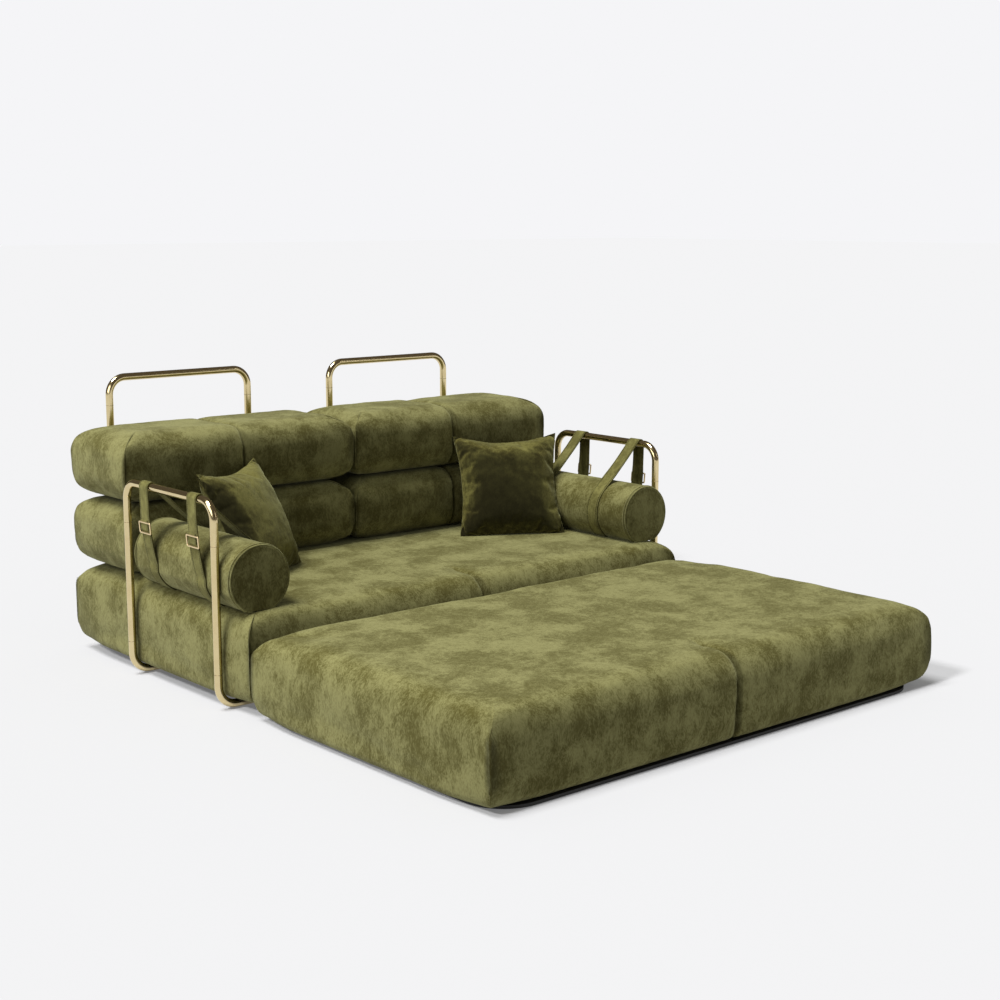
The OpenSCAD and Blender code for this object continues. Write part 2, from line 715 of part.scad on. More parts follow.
// Scatter cushion: two crowned faces sewn edge to edge, sides drawn in between the corners
pillow_n = 12;
function pillow_u(i) = sin(90 * (2 * i / pillow_n - 1));
function pillow_xz(u, v) = let (k = 2 * scatter_draw / scatter_w)
    scatter_w / 2 * [u * (1 - k * (1 - v * v)), v * (1 - k * (1 - u * u))];
function pillow_fat(u, v) = scatter_t / 2 * pow(max(0, (1 - u * u) * (1 - v * v)), 0.55);
module pillow() {
    s = pillow_n + 1;
    points = [for (side = [-1, 1], i = [0:pillow_n], j = [0:pillow_n])
        let (u = pillow_u(i), v = pillow_u(j), p = pillow_xz(u, v)) [p[0], side * pillow_fat(u, v), p[1]]];
    function rim(i, j) = i == 0 || j == 0 || i == pillow_n || j == pillow_n;
    function back(i, j) = rim(i, j) ? i * s + j : s * s + i * s + j;
    function quad(a, b, t, r, even) = even ? [[a, b, t], [a, t, r]] : [[a, b, r], [b, t, r]];
    function even(i, j) = (i < pillow_n / 2) == (j < pillow_n / 2);
    front_faces = [for (i = [0:pillow_n - 1], j = [0:pillow_n - 1])
        each quad(i * s + j, i * s + j + 1, (i + 1) * s + j + 1, (i + 1) * s + j, even(i, j))];
    back_faces = [for (i = [0:pillow_n - 1], j = [0:pillow_n - 1])
        each quad(back(i, j), back(i + 1, j), back(i + 1, j + 1), back(i, j + 1), even(i, j))];
    polyhedron(points, concat(front_faces, back_faces), convexity = 4);
}

// A scatter cushion stands on its lower corners and leans its inner upper corner on the back
scatter_half = scatter_w / 2;
lean_x = scatter_half * (cos(scatter_turn) - sin(scatter_tilt) * sin(scatter_turn));
lean_y = scatter_half * (sin(scatter_turn) + sin(scatter_tilt) * cos(scatter_turn));
foot_x = scatter_half * (cos(scatter_turn) + sin(scatter_tilt) * sin(scatter_turn));
foot_y = scatter_half * (sin(scatter_turn) - sin(scatter_tilt) * cos(scatter_turn));
face_along = [for (x = stations(back_w, back_w / 2)) [x + column_gap / 2, puff(x, back_w, back_w / 2)]];
function back_face_at(x) = back_front + side_crown * (1 - lookup(x, face_along));
function scatter_y(x) = back_face_at(x - lean_x) - soft_gap - lean_y;
function scatter_z(x) = seat_top_at(x - foot_x, scatter_y(x) + foot_y) + soft_gap
    + scatter_half * cos(scatter_tilt);
module scatter_cushion(side, x) {
    color(velvet) translate([side * x, scatter_y(x), scatter_z(x)])
        rotate([0, 0, -side * scatter_turn]) rotate([-scatter_tilt, 0, 0]) pillow();
}

module left_scatter_cushion() { scatter_cushion(-1, seat_w / 2 - left_scatter_inset); }
module right_scatter_cushion() { scatter_cushion(1, seat_w / 2 - right_scatter_inset); }

// Rollers run along Y in slots of the plinth
roller_x = seat_w / 2 - roller_inset_x;
roller_y = section_d / 2 - roller_inset_y;
roller_gap = 1.5;
slot_l = 2 * roller_r + 2 * ear_l;
slot_w = roller_w + 2 * roller_gap;
bracket_t = 2.5;
bracket_l = slot_l + 4 * ear_l;
bracket_w = slot_w + 2 * bracket_t;
ear_h = roller_r - section_z + 2 * axle_r;

module at_rollers() {
    for (sx = [-1, 1], sy = [-1, 1]) translate([sx * roller_x, section_mid + sy * roller_y, 0]) children();
}

module bracket_holes(r) {
    for (s = [-1, 1]) translate([0, s * (slot_l / 2 + ear_l), 0])
        cylinder(r = r, h = 2 * section_z + 2 * bracket_t);
}

module section_plinth() {
    w = seat_w - 2 * plinth_inset;
    d = section_d - plinth_inset - plinth_front_inset;
    color(black) difference() {
        translate([0, section_front + plinth_front_inset + d / 2, plinth_lift]) slab(w, d, plinth_t);
        at_rollers() {
            translate([-slot_w / 2, -slot_l / 2, 0]) cube([slot_w, slot_l, 2 * section_z]);
            bracket_holes(screw_r + fit_gap);
        }
    }
}

module roller_brackets() {
    color(zinc) at_rollers() difference() {
        translate([0, 0, section_z]) {
            difference() {
                translate([-bracket_w / 2, -bracket_l / 2, 0]) cube([bracket_w, bracket_l, bracket_t]);
                translate([-slot_w / 2, -slot_l / 2, -cut]) cube([slot_w, slot_l, bracket_t + 2 * cut]);
            }
            for (s = [-1, 1])
                translate([s * (slot_w + bracket_t) / 2 - bracket_t / 2, -2 * axle_r, 0])
                    cube([bracket_t, 4 * axle_r, ear_h]);
        }
        translate([0, 0, roller_r]) rotate([0, 90, 0])
            cylinder(r = axle_r + fit_gap, h = bracket_w + 2 * cut, center = true);
        bracket_holes(screw_r + fit_gap);
    }
}

module roller_axles() {
    color(zinc) at_rollers() translate([0, 0, roller_r]) rotate([0, 90, 0])
        cylinder(r = axle_r, h = bracket_w + 2 * bracket_t, center = true);
}

module bracket_screws() {
    color(zinc) at_rollers() for (s = [-1, 1])
        translate([0, s * (slot_l / 2 + ear_l), 0]) {
            translate([0, 0, plinth_lift + cut]) cylinder(r = screw_r, h = plinth_t + bracket_t - cut);
            translate([0, 0, section_z + bracket_t]) cylinder(r = head_r, h = head_t);
        }
}

module roller(sx, sy) {
    color(black) translate([sx * roller_x, section_mid + sy * roller_y, roller_r]) rotate([0, 90, 0])
        difference() {
            union() {
                cylinder(r = roller_r, h = roller_w, center = true);
                cylinder(r = 2 * axle_r, h = slot_w - roller_gap, center = true);
            }
            cylinder(r = axle_r + fit_gap, h = slot_w + 2 * cut, center = true);
        }
}

module front_left_roller() { roller(-1, -1); }
module front_right_roller() { roller(1, -1); }
module rear_left_roller() { roller(-1, 1); }
module rear_right_roller() { roller(1, 1); }

base_cover();
base_board();
base_timber_frame();
base_slats();
left_arm_bar();
right_arm_bar();
left_arm_legs();
right_arm_legs();
left_arm_feet();
right_arm_feet();
front_cross_rail();
rear_cross_rail();
left_back_bar();
right_back_bar();
left_back_legs();
right_back_legs();
left_back_feet();
right_back_feet();
tube_sleeves();
foot_plugs();
floor_glides();
saddle_clips();
clip_screws();
left_front_strap();
left_rear_strap();
right_front_strap();
right_rear_strap();
left_strap_tabs();
right_strap_tabs();
left_buckles();
right_buckles();
left_lower_back_cushion();
right_lower_back_cushion();
left_upper_back_cushion();
right_upper_back_cushion();
left_bolster();
right_bolster();
left_bolster_piping();
right_bolster_piping();
left_scatter_cushion();
right_scatter_cushion();
section_cover();
section_plinth();
section_timber_frame();
section_slats();
roller_brackets();
bracket_screws();
roller_axles();
front_left_roller();
front_right_roller();
rear_left_roller();
rear_right_roller();
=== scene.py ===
"""Looks of a velvet sofa bed.

Padded blocks, strapped bolsters, a polished tube frame, studio light and camera.
"""

import json
import logging
import math
from dataclasses import dataclass, field
from enum import Enum
from typing import Callable, Iterable, Optional, Sequence

import bpy
import numpy as np
from mathutils import Matrix, Vector, noise


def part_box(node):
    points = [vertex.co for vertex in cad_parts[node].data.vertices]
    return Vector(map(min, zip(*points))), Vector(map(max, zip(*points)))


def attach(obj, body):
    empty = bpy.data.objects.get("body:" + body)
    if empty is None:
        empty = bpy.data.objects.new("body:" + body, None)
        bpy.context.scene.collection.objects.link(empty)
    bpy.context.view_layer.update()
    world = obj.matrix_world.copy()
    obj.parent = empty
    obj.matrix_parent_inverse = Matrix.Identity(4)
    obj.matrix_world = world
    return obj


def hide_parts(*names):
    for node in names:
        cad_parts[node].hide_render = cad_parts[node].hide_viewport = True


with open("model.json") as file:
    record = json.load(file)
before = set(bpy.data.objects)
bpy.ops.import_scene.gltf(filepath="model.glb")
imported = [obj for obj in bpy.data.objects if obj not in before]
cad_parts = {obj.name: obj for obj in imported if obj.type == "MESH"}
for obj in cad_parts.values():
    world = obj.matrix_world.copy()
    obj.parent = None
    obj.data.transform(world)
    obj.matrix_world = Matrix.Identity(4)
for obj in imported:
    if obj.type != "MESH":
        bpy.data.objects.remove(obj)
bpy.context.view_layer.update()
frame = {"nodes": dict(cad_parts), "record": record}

log = logging.getLogger("sofa_bed")

Piece = bpy.types.Object
Node = bpy.types.Node
Socket = bpy.types.NodeSocket
Sockets = dict[str, Socket]
Rgb = tuple[float, float, float]

TOUCH = 1e-5  # points this close lie on the same plane, in metres
GAP = 0.0003  # between a strap and what it lies on, in metres
BOLSTER_RADIUS = 0.1170
BOLSTER_SINK = 0.007  # how far a bolster settles into the seat, in metres
BOLSTER_SHIFT = 0.0005  # how far it lies towards its arm, in metres
LEG_CLEARANCE = 0.0006  # between a bolster and the arm's legs, in metres
NOISE_LAYERS = (0.6, 2.1, 3)  # fall, spacing and count of the layers of smooth noise
ARM_SEED = 11.0
CUSHION_SEED = 21.0

# Velvet: how its patches sway and are drawn out, and low end, high end and weight of each layer
SWAY_SCALE = 9.0
SWAY_REACH = 0.06
NAP_DRAW = (1.0, 1.0, 0.45)
SPECKS_PER_FLECK = 4.0
PATCH_LAYER = (0.34, 0.66, 0.46)
FLECK_LAYER = (0.33, 0.67, 0.26)
SPECK_LAYER = (0.30, 0.70, 0.28)
NAP_RANGE = (0.08, 0.92)
FIBRE_RELIEF = 0.35
# Painted sheen: the facing value below which the pile is painted darker, seen face on
SHEEN_SHADE_FACING = 0.48

# Metal, plastic and wood
FINE_SCALE = 900.0
CLOUD_RANGE = (0.3, 0.75)
GRAIN_DRAW = (0.12, 1.0, 1.0)
STREAK_RANGE = (0.35, 0.65)

# A strap's stitches and its painted edge shade, as shares of half its width; the pace is along it
STITCH_ROW = 0.76
STITCH_HALF = 0.06
STITCH_PACE = 900.0
STITCH_GAP = -0.75
STRAP_EDGE_SHADE = 0.86

# Where a block's box is cut: beside its channel, as shares of the channel's half width, at its ends,
# in metres, by the turn of its rounded edges, in degrees, and as shares of its lower radius
CHANNEL_CUTS = (-1, -0.75, -0.5, -0.28, -0.1, 0, 0.1, 0.28, 0.5, 0.75, 1)
END_CUTS = (0.003, 0.007, 0.012, 0.022)
EDGE_TURNS = (12, 24, 36, 48, 60, 72, 84)
LOW_CUTS = (0.06, 0.17, 0.37, 0.62, 0.85)


class Side(Enum):
    """The two sides of the sofa, seen from the front."""

    LEFT = -1
    RIGHT = 1

    @property
    def word(self) -> str:
        """The side's name as the CAD nodes spell it."""
        return self.name.lower()


class Channel(Enum):
    """Where a block's sewn channel runs."""

    FRONT_EDGE = "front edge"
    ALL_ROUND = "all round"


# Selecting, making and shaping


def deselect_all() -> None:
    """Leave edit mode and clear the selection."""
    if bpy.context.object is not None and bpy.context.object.mode != "OBJECT":
        bpy.ops.object.mode_set(mode="OBJECT")
    bpy.ops.object.select_all(action="DESELECT")


def make_active(piece: Piece) -> None:
    """Select one piece alone and make it active.

    Args:
        piece: The piece to work on.
    """
    deselect_all()
    piece.select_set(True)
    bpy.context.view_layer.objects.active = piece


def edit_all(piece: Piece) -> None:
    """Open a piece in edit mode with all of its points selected.

    Args:
        piece: The piece to work on.
    """
    make_active(piece)
    bpy.ops.object.mode_set(mode="EDIT")
    bpy.ops.mesh.select_mode(type="VERT")
    bpy.ops.mesh.select_all(action="SELECT")


def named(name: str) -> Piece:
    """Name the active object and its mesh, and bake its place into the mesh.

    Args:
        name: The piece's name.

    Returns:
        The named piece, at the origin, unturned and unscaled.
    """
    piece = bpy.context.object
    piece.name = name
    piece.data.name = name
    bpy.ops.object.transform_apply(location=True, rotation=True, scale=True)
    return piece


def new_box(name: str, low: Vector, high: Vector) -> Piece:
    """Add a box between two corners.

    Args:
        name: The piece's name.
        low: Lowest corner in metres.
        high: Highest corner in metres.

    Returns:
        The box.
    """
    deselect_all()
    bpy.ops.mesh.primitive_cube_add(size=1, location=(low + high) / 2, scale=high - low)
    return named(name)


def slice_across(piece: Piece, axis: int, places: Iterable[float]) -> None:
    """Cut edges round a mesh at places along one axis.

    Args:
        piece: The mesh to cut.
        axis: 0, 1 or 2 for X, Y or Z.
        places: Positions of the cuts in metres.
    """
    make_active(piece)
    bpy.ops.object.mode_set(mode="EDIT")
    for place in places:
        point, normal = [0.0, 0.0, 0.0], [0.0, 0.0, 0.0]
        point[axis], normal[axis] = place, 1.0
        bpy.ops.mesh.select_all(action="SELECT")
        bpy.ops.mesh.bisect(plane_co=point, plane_no=normal)
    bpy.ops.object.mode_set(mode="OBJECT")


def even_places(low: float, high: float, spacing: float) -> list[float]:
    """Inner positions that part a length evenly.

    Args:
        low: Start of the length.
        high: End of the length.
        spacing: The wanted distance between positions.

    Returns:
        The positions between the two ends.
    """
    count = max(2, round((high - low) / spacing))
    return [low + (high - low) * i / count for i in range(1, count)]


def read_points(piece: Piece) -> np.ndarray:
    """Read a mesh's points.

    Args:
        piece: The mesh to read.

    Returns:
        Rows of X, Y and Z in metres.
    """
    points = np.zeros(len(piece.data.vertices) * 3)
    piece.data.vertices.foreach_get("co", points)
    return points.reshape(-1, 3)


def write_points(piece: Piece, points: np.ndarray) -> None:
    """Move the mesh's points.

    Args:
        piece: The mesh to change.
        points: Rows of X, Y and Z in metres.
    """
    piece.data.vertices.foreach_set("co", points.astype(np.float32).ravel())
    piece.data.update()


def apply_modifier(piece: Piece, kind: str, **values: object) -> None:
    """Add a modifier, set it and apply it.

    Args:
        piece: The piece to change.
        kind: Blender's name for the modifier's type.
        values: The modifier's settings.
    """
    make_active(piece)
    modifier = piece.modifiers.new(kind.lower(), kind)
    for key, value in values.items():
        setattr(modifier, key, value)
    bpy.ops.object.modifier_apply(modifier=modifier.name)


def subdivide_piece(piece: Piece, smooth: bool = True) -> None:
    """Split every face in four, rounding the form or leaving it as it is.

    Args:
        piece: The piece to change.
        smooth: True rounds the form.
    """
    kind = "CATMULL_CLARK" if smooth else "SIMPLE"
    apply_modifier(piece, "SUBSURF", subdivision_type=kind, levels=1, render_levels=1)


def shade(piece: Piece, degrees: float) -> None:
    """Shade smooth, with edges sharper than an angle left crisp."""
    make_active(piece)
    bpy.ops.object.shade_smooth_by_angle(angle=math.radians(degrees))


def smooth_step(t: np.ndarray) -> np.ndarray:
    """Ease from 0 to 1 over the unit range."""
    t = np.clip(t, 0.0, 1.0)
    return t * t * (3 - 2 * t)


def bell(distance: np.ndarray, width: float) -> np.ndarray:
    """Fall from 1 at no distance, past the width and on towards 0."""
    return np.exp(-((distance / width) ** 2))


def dome(share: np.ndarray) -> np.ndarray:
    """Rise from 0 at the ends, -1 and 1, to 1 in the middle."""
    return np.clip(1 - share**2, 0, 1)


def roughen(
    piece: Piece, size: float, height: float, seed: float, still: Optional[np.ndarray] = None
) -> None:
    """Move a mesh's points along their normals by a smooth random amount.

    Args:
        piece: The mesh to change.
        size: Length of the bumps in metres.
        height: Largest movement in metres.
        seed: Offset that gives each piece its own bumps.
        still: A share for each point from 0, free, to 1, held.
    """
    points = read_points(piece)
    normals = np.zeros(len(points) * 3)
    piece.data.vertices.foreach_get("normal", normals)
    normals = normals.reshape(-1, 3)
    shift = Vector((seed, seed * 0.7, seed * 1.3))
    amount = np.array([noise.fractal(Vector(p) / size + shift, *NOISE_LAYERS) for p in points])
    free = 1.0 if still is None else 1.0 - still
    write_points(piece, points + normals * (np.clip(amount, -1, 1) * height * free)[:, None])


def inflate(
    piece: Piece, pressure: float, cap: float, sewn: Sequence[int], slack: float = 0.0, stretch: float = 15.0,
    bend: float = 0.5, frames: int = 20,
) -> None:
    """Fill a closed cover with Blender's cloth, then keep the filled form.

    Args:
        piece: The closed cover.
        pressure: Uniform pressure inside.
        cap: The most that a point may move, in metres.
        sewn: Points that stay where they are.
        slack: Share by which the cloth is cut larger than the form.
        stretch: Stiffness against stretching.
        bend: Stiffness against bending.
        frames: Steps of the simulation.
    """
    before = read_points(piece)
    make_active(piece)
    group = piece.vertex_groups.new(name="sewn")
    group.add([int(i) for i in sewn], 1.0, "REPLACE")
    cloth = piece.modifiers.new("filling", "CLOTH")
    cloth.settings.quality = 5
    cloth.settings.mass = 0.3
    cloth.settings.tension_stiffness = stretch
    cloth.settings.compression_stiffness = stretch
    cloth.settings.shear_stiffness = stretch / 3
    cloth.settings.bending_stiffness = bend
    cloth.settings.use_pressure = True
    cloth.settings.uniform_pressure_force = pressure
    cloth.settings.shrink_min = -slack
    cloth.settings.vertex_group_mass = "sewn"
    cloth.settings.effector_weights.gravity = 0
    cloth.point_cache.frame_start, cloth.point_cache.frame_end = 1, frames
    for step in range(1, frames + 1):
        bpy.context.scene.frame_set(step)
    posed = piece.evaluated_get(bpy.context.evaluated_depsgraph_get())
    after = np.zeros(len(before) * 3)
    posed.data.vertices.foreach_get("co", after)
    piece.modifiers.remove(cloth)
    piece.vertex_groups.clear()
    bpy.context.scene.frame_set(1)
    move = after.reshape(-1, 3) - before
    length = np.linalg.norm(move, axis=1, keepdims=True)
    log.info("%s filled: points move up to %.1f mm", piece.name, 1000 * length.max())
    write_points(piece, before + move * np.minimum(1, cap / np.maximum(length, 1e-9)))


def line_piece(name: str, paths: Sequence[np.ndarray], radius: float, closed: bool = False) -> Piece:
    """Thin round line along one or more paths, as a mesh.

    Args:
        name: The piece's name.
        paths: Rows of points in metres for each line.
        radius: The line's radius in metres.
        closed: True joins each path's end to its start.

    Returns:
        The line's mesh.
    """
    deselect_all()
    curve = bpy.data.curves.new(name, "CURVE")
    curve.dimensions = "3D"
    curve.bevel_depth = radius
    curve.bevel_resolution = 1
    curve.use_fill_caps = not closed
    for path in paths:
        spline = curve.splines.new("POLY")
        spline.points.add(len(path) - 1)
        for point, place in zip(spline.points, path):
            point.co = (*place, 1.0)
        spline.use_cyclic_u = closed
    piece = bpy.data.objects.new(name, curve)
    bpy.context.scene.collection.objects.link(piece)
    make_active(piece)
    bpy.ops.object.convert(target="MESH")
    return bpy.context.object


def join_pieces(first: Piece, others: Sequence[Piece]) -> Piece:
    """Join pieces into the first one, which keeps its name.

    Args:
        first: The piece that stays.
        others: The pieces that go into it.

    Returns:
        The joined piece.
    """
    deselect_all()
    for piece in (first, *others):
        piece.select_set(True)
    bpy.context.view_layer.objects.active = first
    bpy.ops.object.join()
    return first


# Node trees


class NodeDesk:
    """A node tree with short ways to add and join nodes."""

    def __init__(self, tree: bpy.types.NodeTree) -> None:
        """Work on a tree, from empty."""
        self.tree = tree
        tree.nodes.clear()

    def add(self, kind: str, **values: object) -> Node:
        """Add a node.

        Args:
            kind: Blender's name for the node type.
            values: Properties, and sockets named with underscores for spaces.

        Returns:
            The new node.
        """
        node = self.tree.nodes.new(kind)
        self.fill(node, **values)
        return node

    def fill(self, node: Node, **values: object) -> None:
        """Set a node's properties and sockets.

        Args:
            node: The node.
            values: Properties, and sockets named with underscores for spaces.
        """
        for key, value in values.items():
            if hasattr(node, key) and key not in node.inputs:
                setattr(node, key, value)
            else:
                self.feed(node, key.replace("_", " "), value)

    def feed(self, node: Node, socket: str, value: object) -> None:
        """Set a socket's value, or link an output to it.

        Args:
            node: The node that takes the value.
            socket: The socket's name, or its number as text.
            value: A number, a colour or an output socket.
        """
        target = node.inputs[int(socket)] if socket.isdigit() else node.inputs[socket]
        if isinstance(value, Socket):
            self.tree.links.new(value, target)
        elif isinstance(value, tuple) and len(value) == 3 and target.type == "RGBA":
            target.default_value = (*value, 1.0)
        else:
            target.default_value = value

    def math(self, operation: str, first: object, second: object = 0.5) -> Socket:
        """One arithmetic step.

        Args:
            operation: Blender's name for the operation.
            first: A number or an output socket.
            second: A number or an output socket.

        Returns:
            The result's socket.
        """
        node = self.add("ShaderNodeMath", operation=operation)
        self.feed(node, "0", first)
        self.feed(node, "1", second)
        return node.outputs[0]

    def ramp(self, value: Socket, low: float, high: float) -> Socket:
        """Stretch a range to the range from 0 to 1, smoothly.

        Args:
            value: The socket to stretch.
            low: What becomes 0.
            high: What becomes 1.

        Returns:
            The result's socket.
        """
        values = {"Value": value, "From_Min": low, "From_Max": high}
        return self.add("ShaderNodeMapRange", interpolation_type="SMOOTHSTEP", **values).outputs["Result"]

    def mix(self, share: object, first: object, second: object) -> Socket:
        """Blend two colours.

        Args:
            share: Number or socket, 0 for the first colour and 1 for the second.
            first: Colour or socket.
            second: Colour or socket.

        Returns:
            The colour's socket.
        """
        node = self.add("ShaderNodeMix", data_type="RGBA")
        places = {s.identifier: str(i) for i, s in enumerate(node.inputs)}
        for identifier, value in {"Factor_Float": share, "A_Color": first, "B_Color": second}.items():
            self.feed(node, places[identifier], value)
        return next(s for s in node.outputs if s.identifier == "Result_Color")

    def noise(self, where: Socket, scale: object, detail: float, roughness: float) -> Socket:
        """Cloudy noise.

        Args:
            where: Coordinates' socket.
            scale: Clouds per metre, a number or a socket.
            detail: Number of finer layers.
            roughness: Strength of the finer layers.

        Returns:
            The noise value's socket.
        """
        values = {"Vector": where, "Scale": scale, "Detail": detail, "Roughness": roughness}
        return self.add("ShaderNodeTexNoise", **values).outputs["Fac"]


@dataclass(frozen=True)
class Effect:
    """A node group with named sockets, made once.

    In gives, a name that ends in Color is a colour. fill builds the group on its desk from its
    inputs and returns its outputs.
    """

    name: str
    takes: dict[str, object]
    gives: tuple[str, ...]
    fill: Callable[[NodeDesk, Sockets], Sockets]

    def tree(self) -> bpy.types.ShaderNodeTree:
        """The group's tree, made at its first use.

        Returns:
            The tree.
        """
        if self.name in bpy.data.node_groups:
            return bpy.data.node_groups[self.name]
        tree = bpy.data.node_groups.new(self.name, "ShaderNodeTree")
        for key, value in self.takes.items():
            socket = self.add_socket(tree, key, "INPUT", isinstance(value, tuple))
            socket.default_value = (*value, 1.0) if isinstance(value, tuple) else value
        for key in self.gives:
            self.add_socket(tree, key, "OUTPUT", key.endswith("Color"))
        desk = NodeDesk(tree)
        start, end = desk.add("NodeGroupInput"), desk.add("NodeGroupOutput")
        for key, socket in self.fill(desk, {key: start.outputs[key] for key in self.takes}).items():
            desk.feed(end, key, socket)
        return tree

    def add_socket(
        self, tree: bpy.types.ShaderNodeTree, name: str, way: str, colored: bool
    ) -> bpy.types.NodeTreeInterfaceSocket:
        """Add a socket to the group's outside.

        Args:
            tree: The group's tree.
            name: The socket's name.
            way: INPUT or OUTPUT.
            colored: True for a colour, False for a number.

        Returns:
            The socket.
        """
        kind = "NodeSocketColor" if colored else "NodeSocketFloat"
        return tree.interface.new_socket(name=name, in_out=way, socket_type=kind)


def fill_nap(desk: NodeDesk, take: Sockets) -> Sockets:
    """Velvet's brushed patches, fine flecks and nap, on object coordinates.

    Args:
        desk: The group's tree.
        take: The group's inputs.

    Returns:
        The group's outputs.
    """
    where = desk.add("ShaderNodeTexCoord").outputs["Object"]
    sway = desk.add("ShaderNodeTexNoise", Vector=where, Scale=SWAY_SCALE, Detail=2.0)
    push = desk.add("ShaderNodeVectorMath", operation="SCALE", Scale=SWAY_REACH)
    desk.feed(push, "0", sway.outputs["Color"])
    bent = desk.add("ShaderNodeVectorMath", operation="ADD")
    desk.feed(bent, "0", where)
    desk.feed(bent, "1", push.outputs["Vector"])
    spot = bent.outputs["Vector"]
    streaked = desk.add("ShaderNodeMapping", Vector=spot, Scale=NAP_DRAW).outputs["Vector"]
    broad = desk.noise(spot, take["Patch Scale"], 5.0, 0.58)
    small = desk.noise(streaked, take["Fleck Scale"], 4.0, 0.65)
    speck = desk.noise(streaked, desk.math("MULTIPLY", take["Fleck Scale"], SPECKS_PER_FLECK), 2.0, 0.6)
    fibre = desk.noise(where, FINE_SCALE, 1.0, 0.5)
    share = None
    for layer, (low, high, weight) in ((speck, SPECK_LAYER), (broad, PATCH_LAYER), (small, FLECK_LAYER)):
        part = desk.math("MULTIPLY", desk.ramp(layer, low, high), weight)
        share = part if share is None else desk.math("ADD", share, part)
    base = desk.mix(desk.ramp(share, *NAP_RANGE), take["Dark Color"], take["Light Color"])
    grain = desk.math("MULTIPLY", desk.math("SUBTRACT", fibre, 0.5), take["Grain"])
    shaded = desk.add("ShaderNodeHueSaturation", Color=base, Value=desk.math("ADD", 1.0, grain))
    fine = desk.math("MULTIPLY", fibre, FIBRE_RELIEF)
    height = desk.math("ADD", fine, desk.math("MULTIPLY", small, 1 - FIBRE_RELIEF))
    return {"Color": shaded.outputs["Color"], "Height": height}


def fill_polish(desk: NodeDesk, take: Sockets) -> Sockets:
    """Faint handling marks and uneven polish on metal and plastic, on object coordinates.

    Args:
        desk: The group's tree.
        take: The group's inputs.

    Returns:
        The group's outputs.
    """
    where = desk.add("ShaderNodeTexCoord").outputs["Object"]
    cloud = desk.ramp(desk.noise(where, take["Cloud Scale"], 4.0, 0.6), *CLOUD_RANGE)
    fine = desk.noise(where, take["Fine Scale"], 2.0, 0.5)
    color = desk.mix(desk.math("MULTIPLY", cloud, take["Tarnish"]), take["Clean Color"], take["Dull Color"])
    spread = desk.math("MULTIPLY", desk.math("SUBTRACT", cloud, 0.5), take["Roughness Spread"])
    rough = desk.math("ADD", take["Roughness"], spread)
    return {"Color": color, "Roughness": rough, "Height": fine}


def fill_streaks(desk: NodeDesk, take: Sockets) -> Sockets:
    """Long streaks of wood grain along X, on object coordinates.

    Args:
        desk: The group's tree.
        take: The group's inputs.

    Returns:
        The group's outputs.
    """
    where = desk.add("ShaderNodeTexCoord").outputs["Object"]
    turn = desk.add("ShaderNodeMapping", Vector=where, Scale=GRAIN_DRAW)
    streak = desk.noise(turn.outputs["Vector"], take["Streak Scale"], 5.0, 0.6)
    share = desk.ramp(streak, *STREAK_RANGE)
    return {"Color": desk.mix(share, take["Dark Color"], take["Light Color"]), "Height": streak}


NAP = Effect(
    "brushed_nap",
    {
        "Dark Color": (0.1, 0.1, 0.04), "Light Color": (0.2, 0.2, 0.09), "Patch Scale": 7.0,
        "Fleck Scale": 40.0, "Grain": 0.25,
    },
    ("Color", "Height"), fill_nap,
)
POLISH = Effect(
    "uneven_polish",
    {
        "Clean Color": (0.8, 0.7, 0.5), "Dull Color": (0.5, 0.4, 0.25), "Tarnish": 0.4, "Roughness": 0.2,
        "Roughness Spread": 0.1, "Cloud Scale": 18.0, "Fine Scale": FINE_SCALE,
    },
    ("Color", "Roughness", "Height"), fill_polish,
)
STREAKS = Effect(
    "wood_streaks",
    {"Dark Color": (0.4, 0.25, 0.12), "Light Color": (0.7, 0.5, 0.3), "Streak Scale": 90.0},
    ("Color", "Height"), fill_streaks,
)


# Finishes


def new_material(name: str) -> tuple[bpy.types.Material, NodeDesk]:
    """Add a material.

    Args:
        name: The material's name.

    Returns:
        The material and its empty tree.
    """
    made = bpy.data.materials.new(name)
    made.use_nodes = True
    return made, NodeDesk(made.node_tree)


@dataclass(frozen=True)
class Finish:
    """What every finish has: a name, and a material made once."""

    name: str

    def material(self) -> bpy.types.Material:
        """The finish's material, made at its first use.

        Returns:
            The material.
        """
        found = bpy.data.materials.get(self.name)
        if found is not None:
            return found
        made, desk = new_material(self.name)
        shader = desk.add("ShaderNodeBsdfPrincipled")
        self.dress(desk, shader)
        desk.add("ShaderNodeOutputMaterial", Surface=shader.outputs["BSDF"])
        return made

    def dress(self, desk: NodeDesk, shader: Node) -> None:
        """Set the shader; each finish has its own way."""
        raise NotImplementedError

    def paint(self, piece: Piece) -> None:
        """Give a piece this finish alone."""
        piece.data.materials.clear()
        piece.data.materials.append(self.material())


def bump(desk: NodeDesk, shader: Node, height: Socket, depth: float, strength: float) -> None:
    """Raise a surface by a height value.

    Args:
        desk: The material's tree.
        shader: The shader that takes the normal.
        height: Height from 0 to 1.
        depth: What 1 means in metres.
        strength: Share of the effect.
    """
    node = desk.add("ShaderNodeBump", Strength=strength, Distance=depth, Height=height)
    desk.feed(shader, "Normal", node.outputs["Normal"])


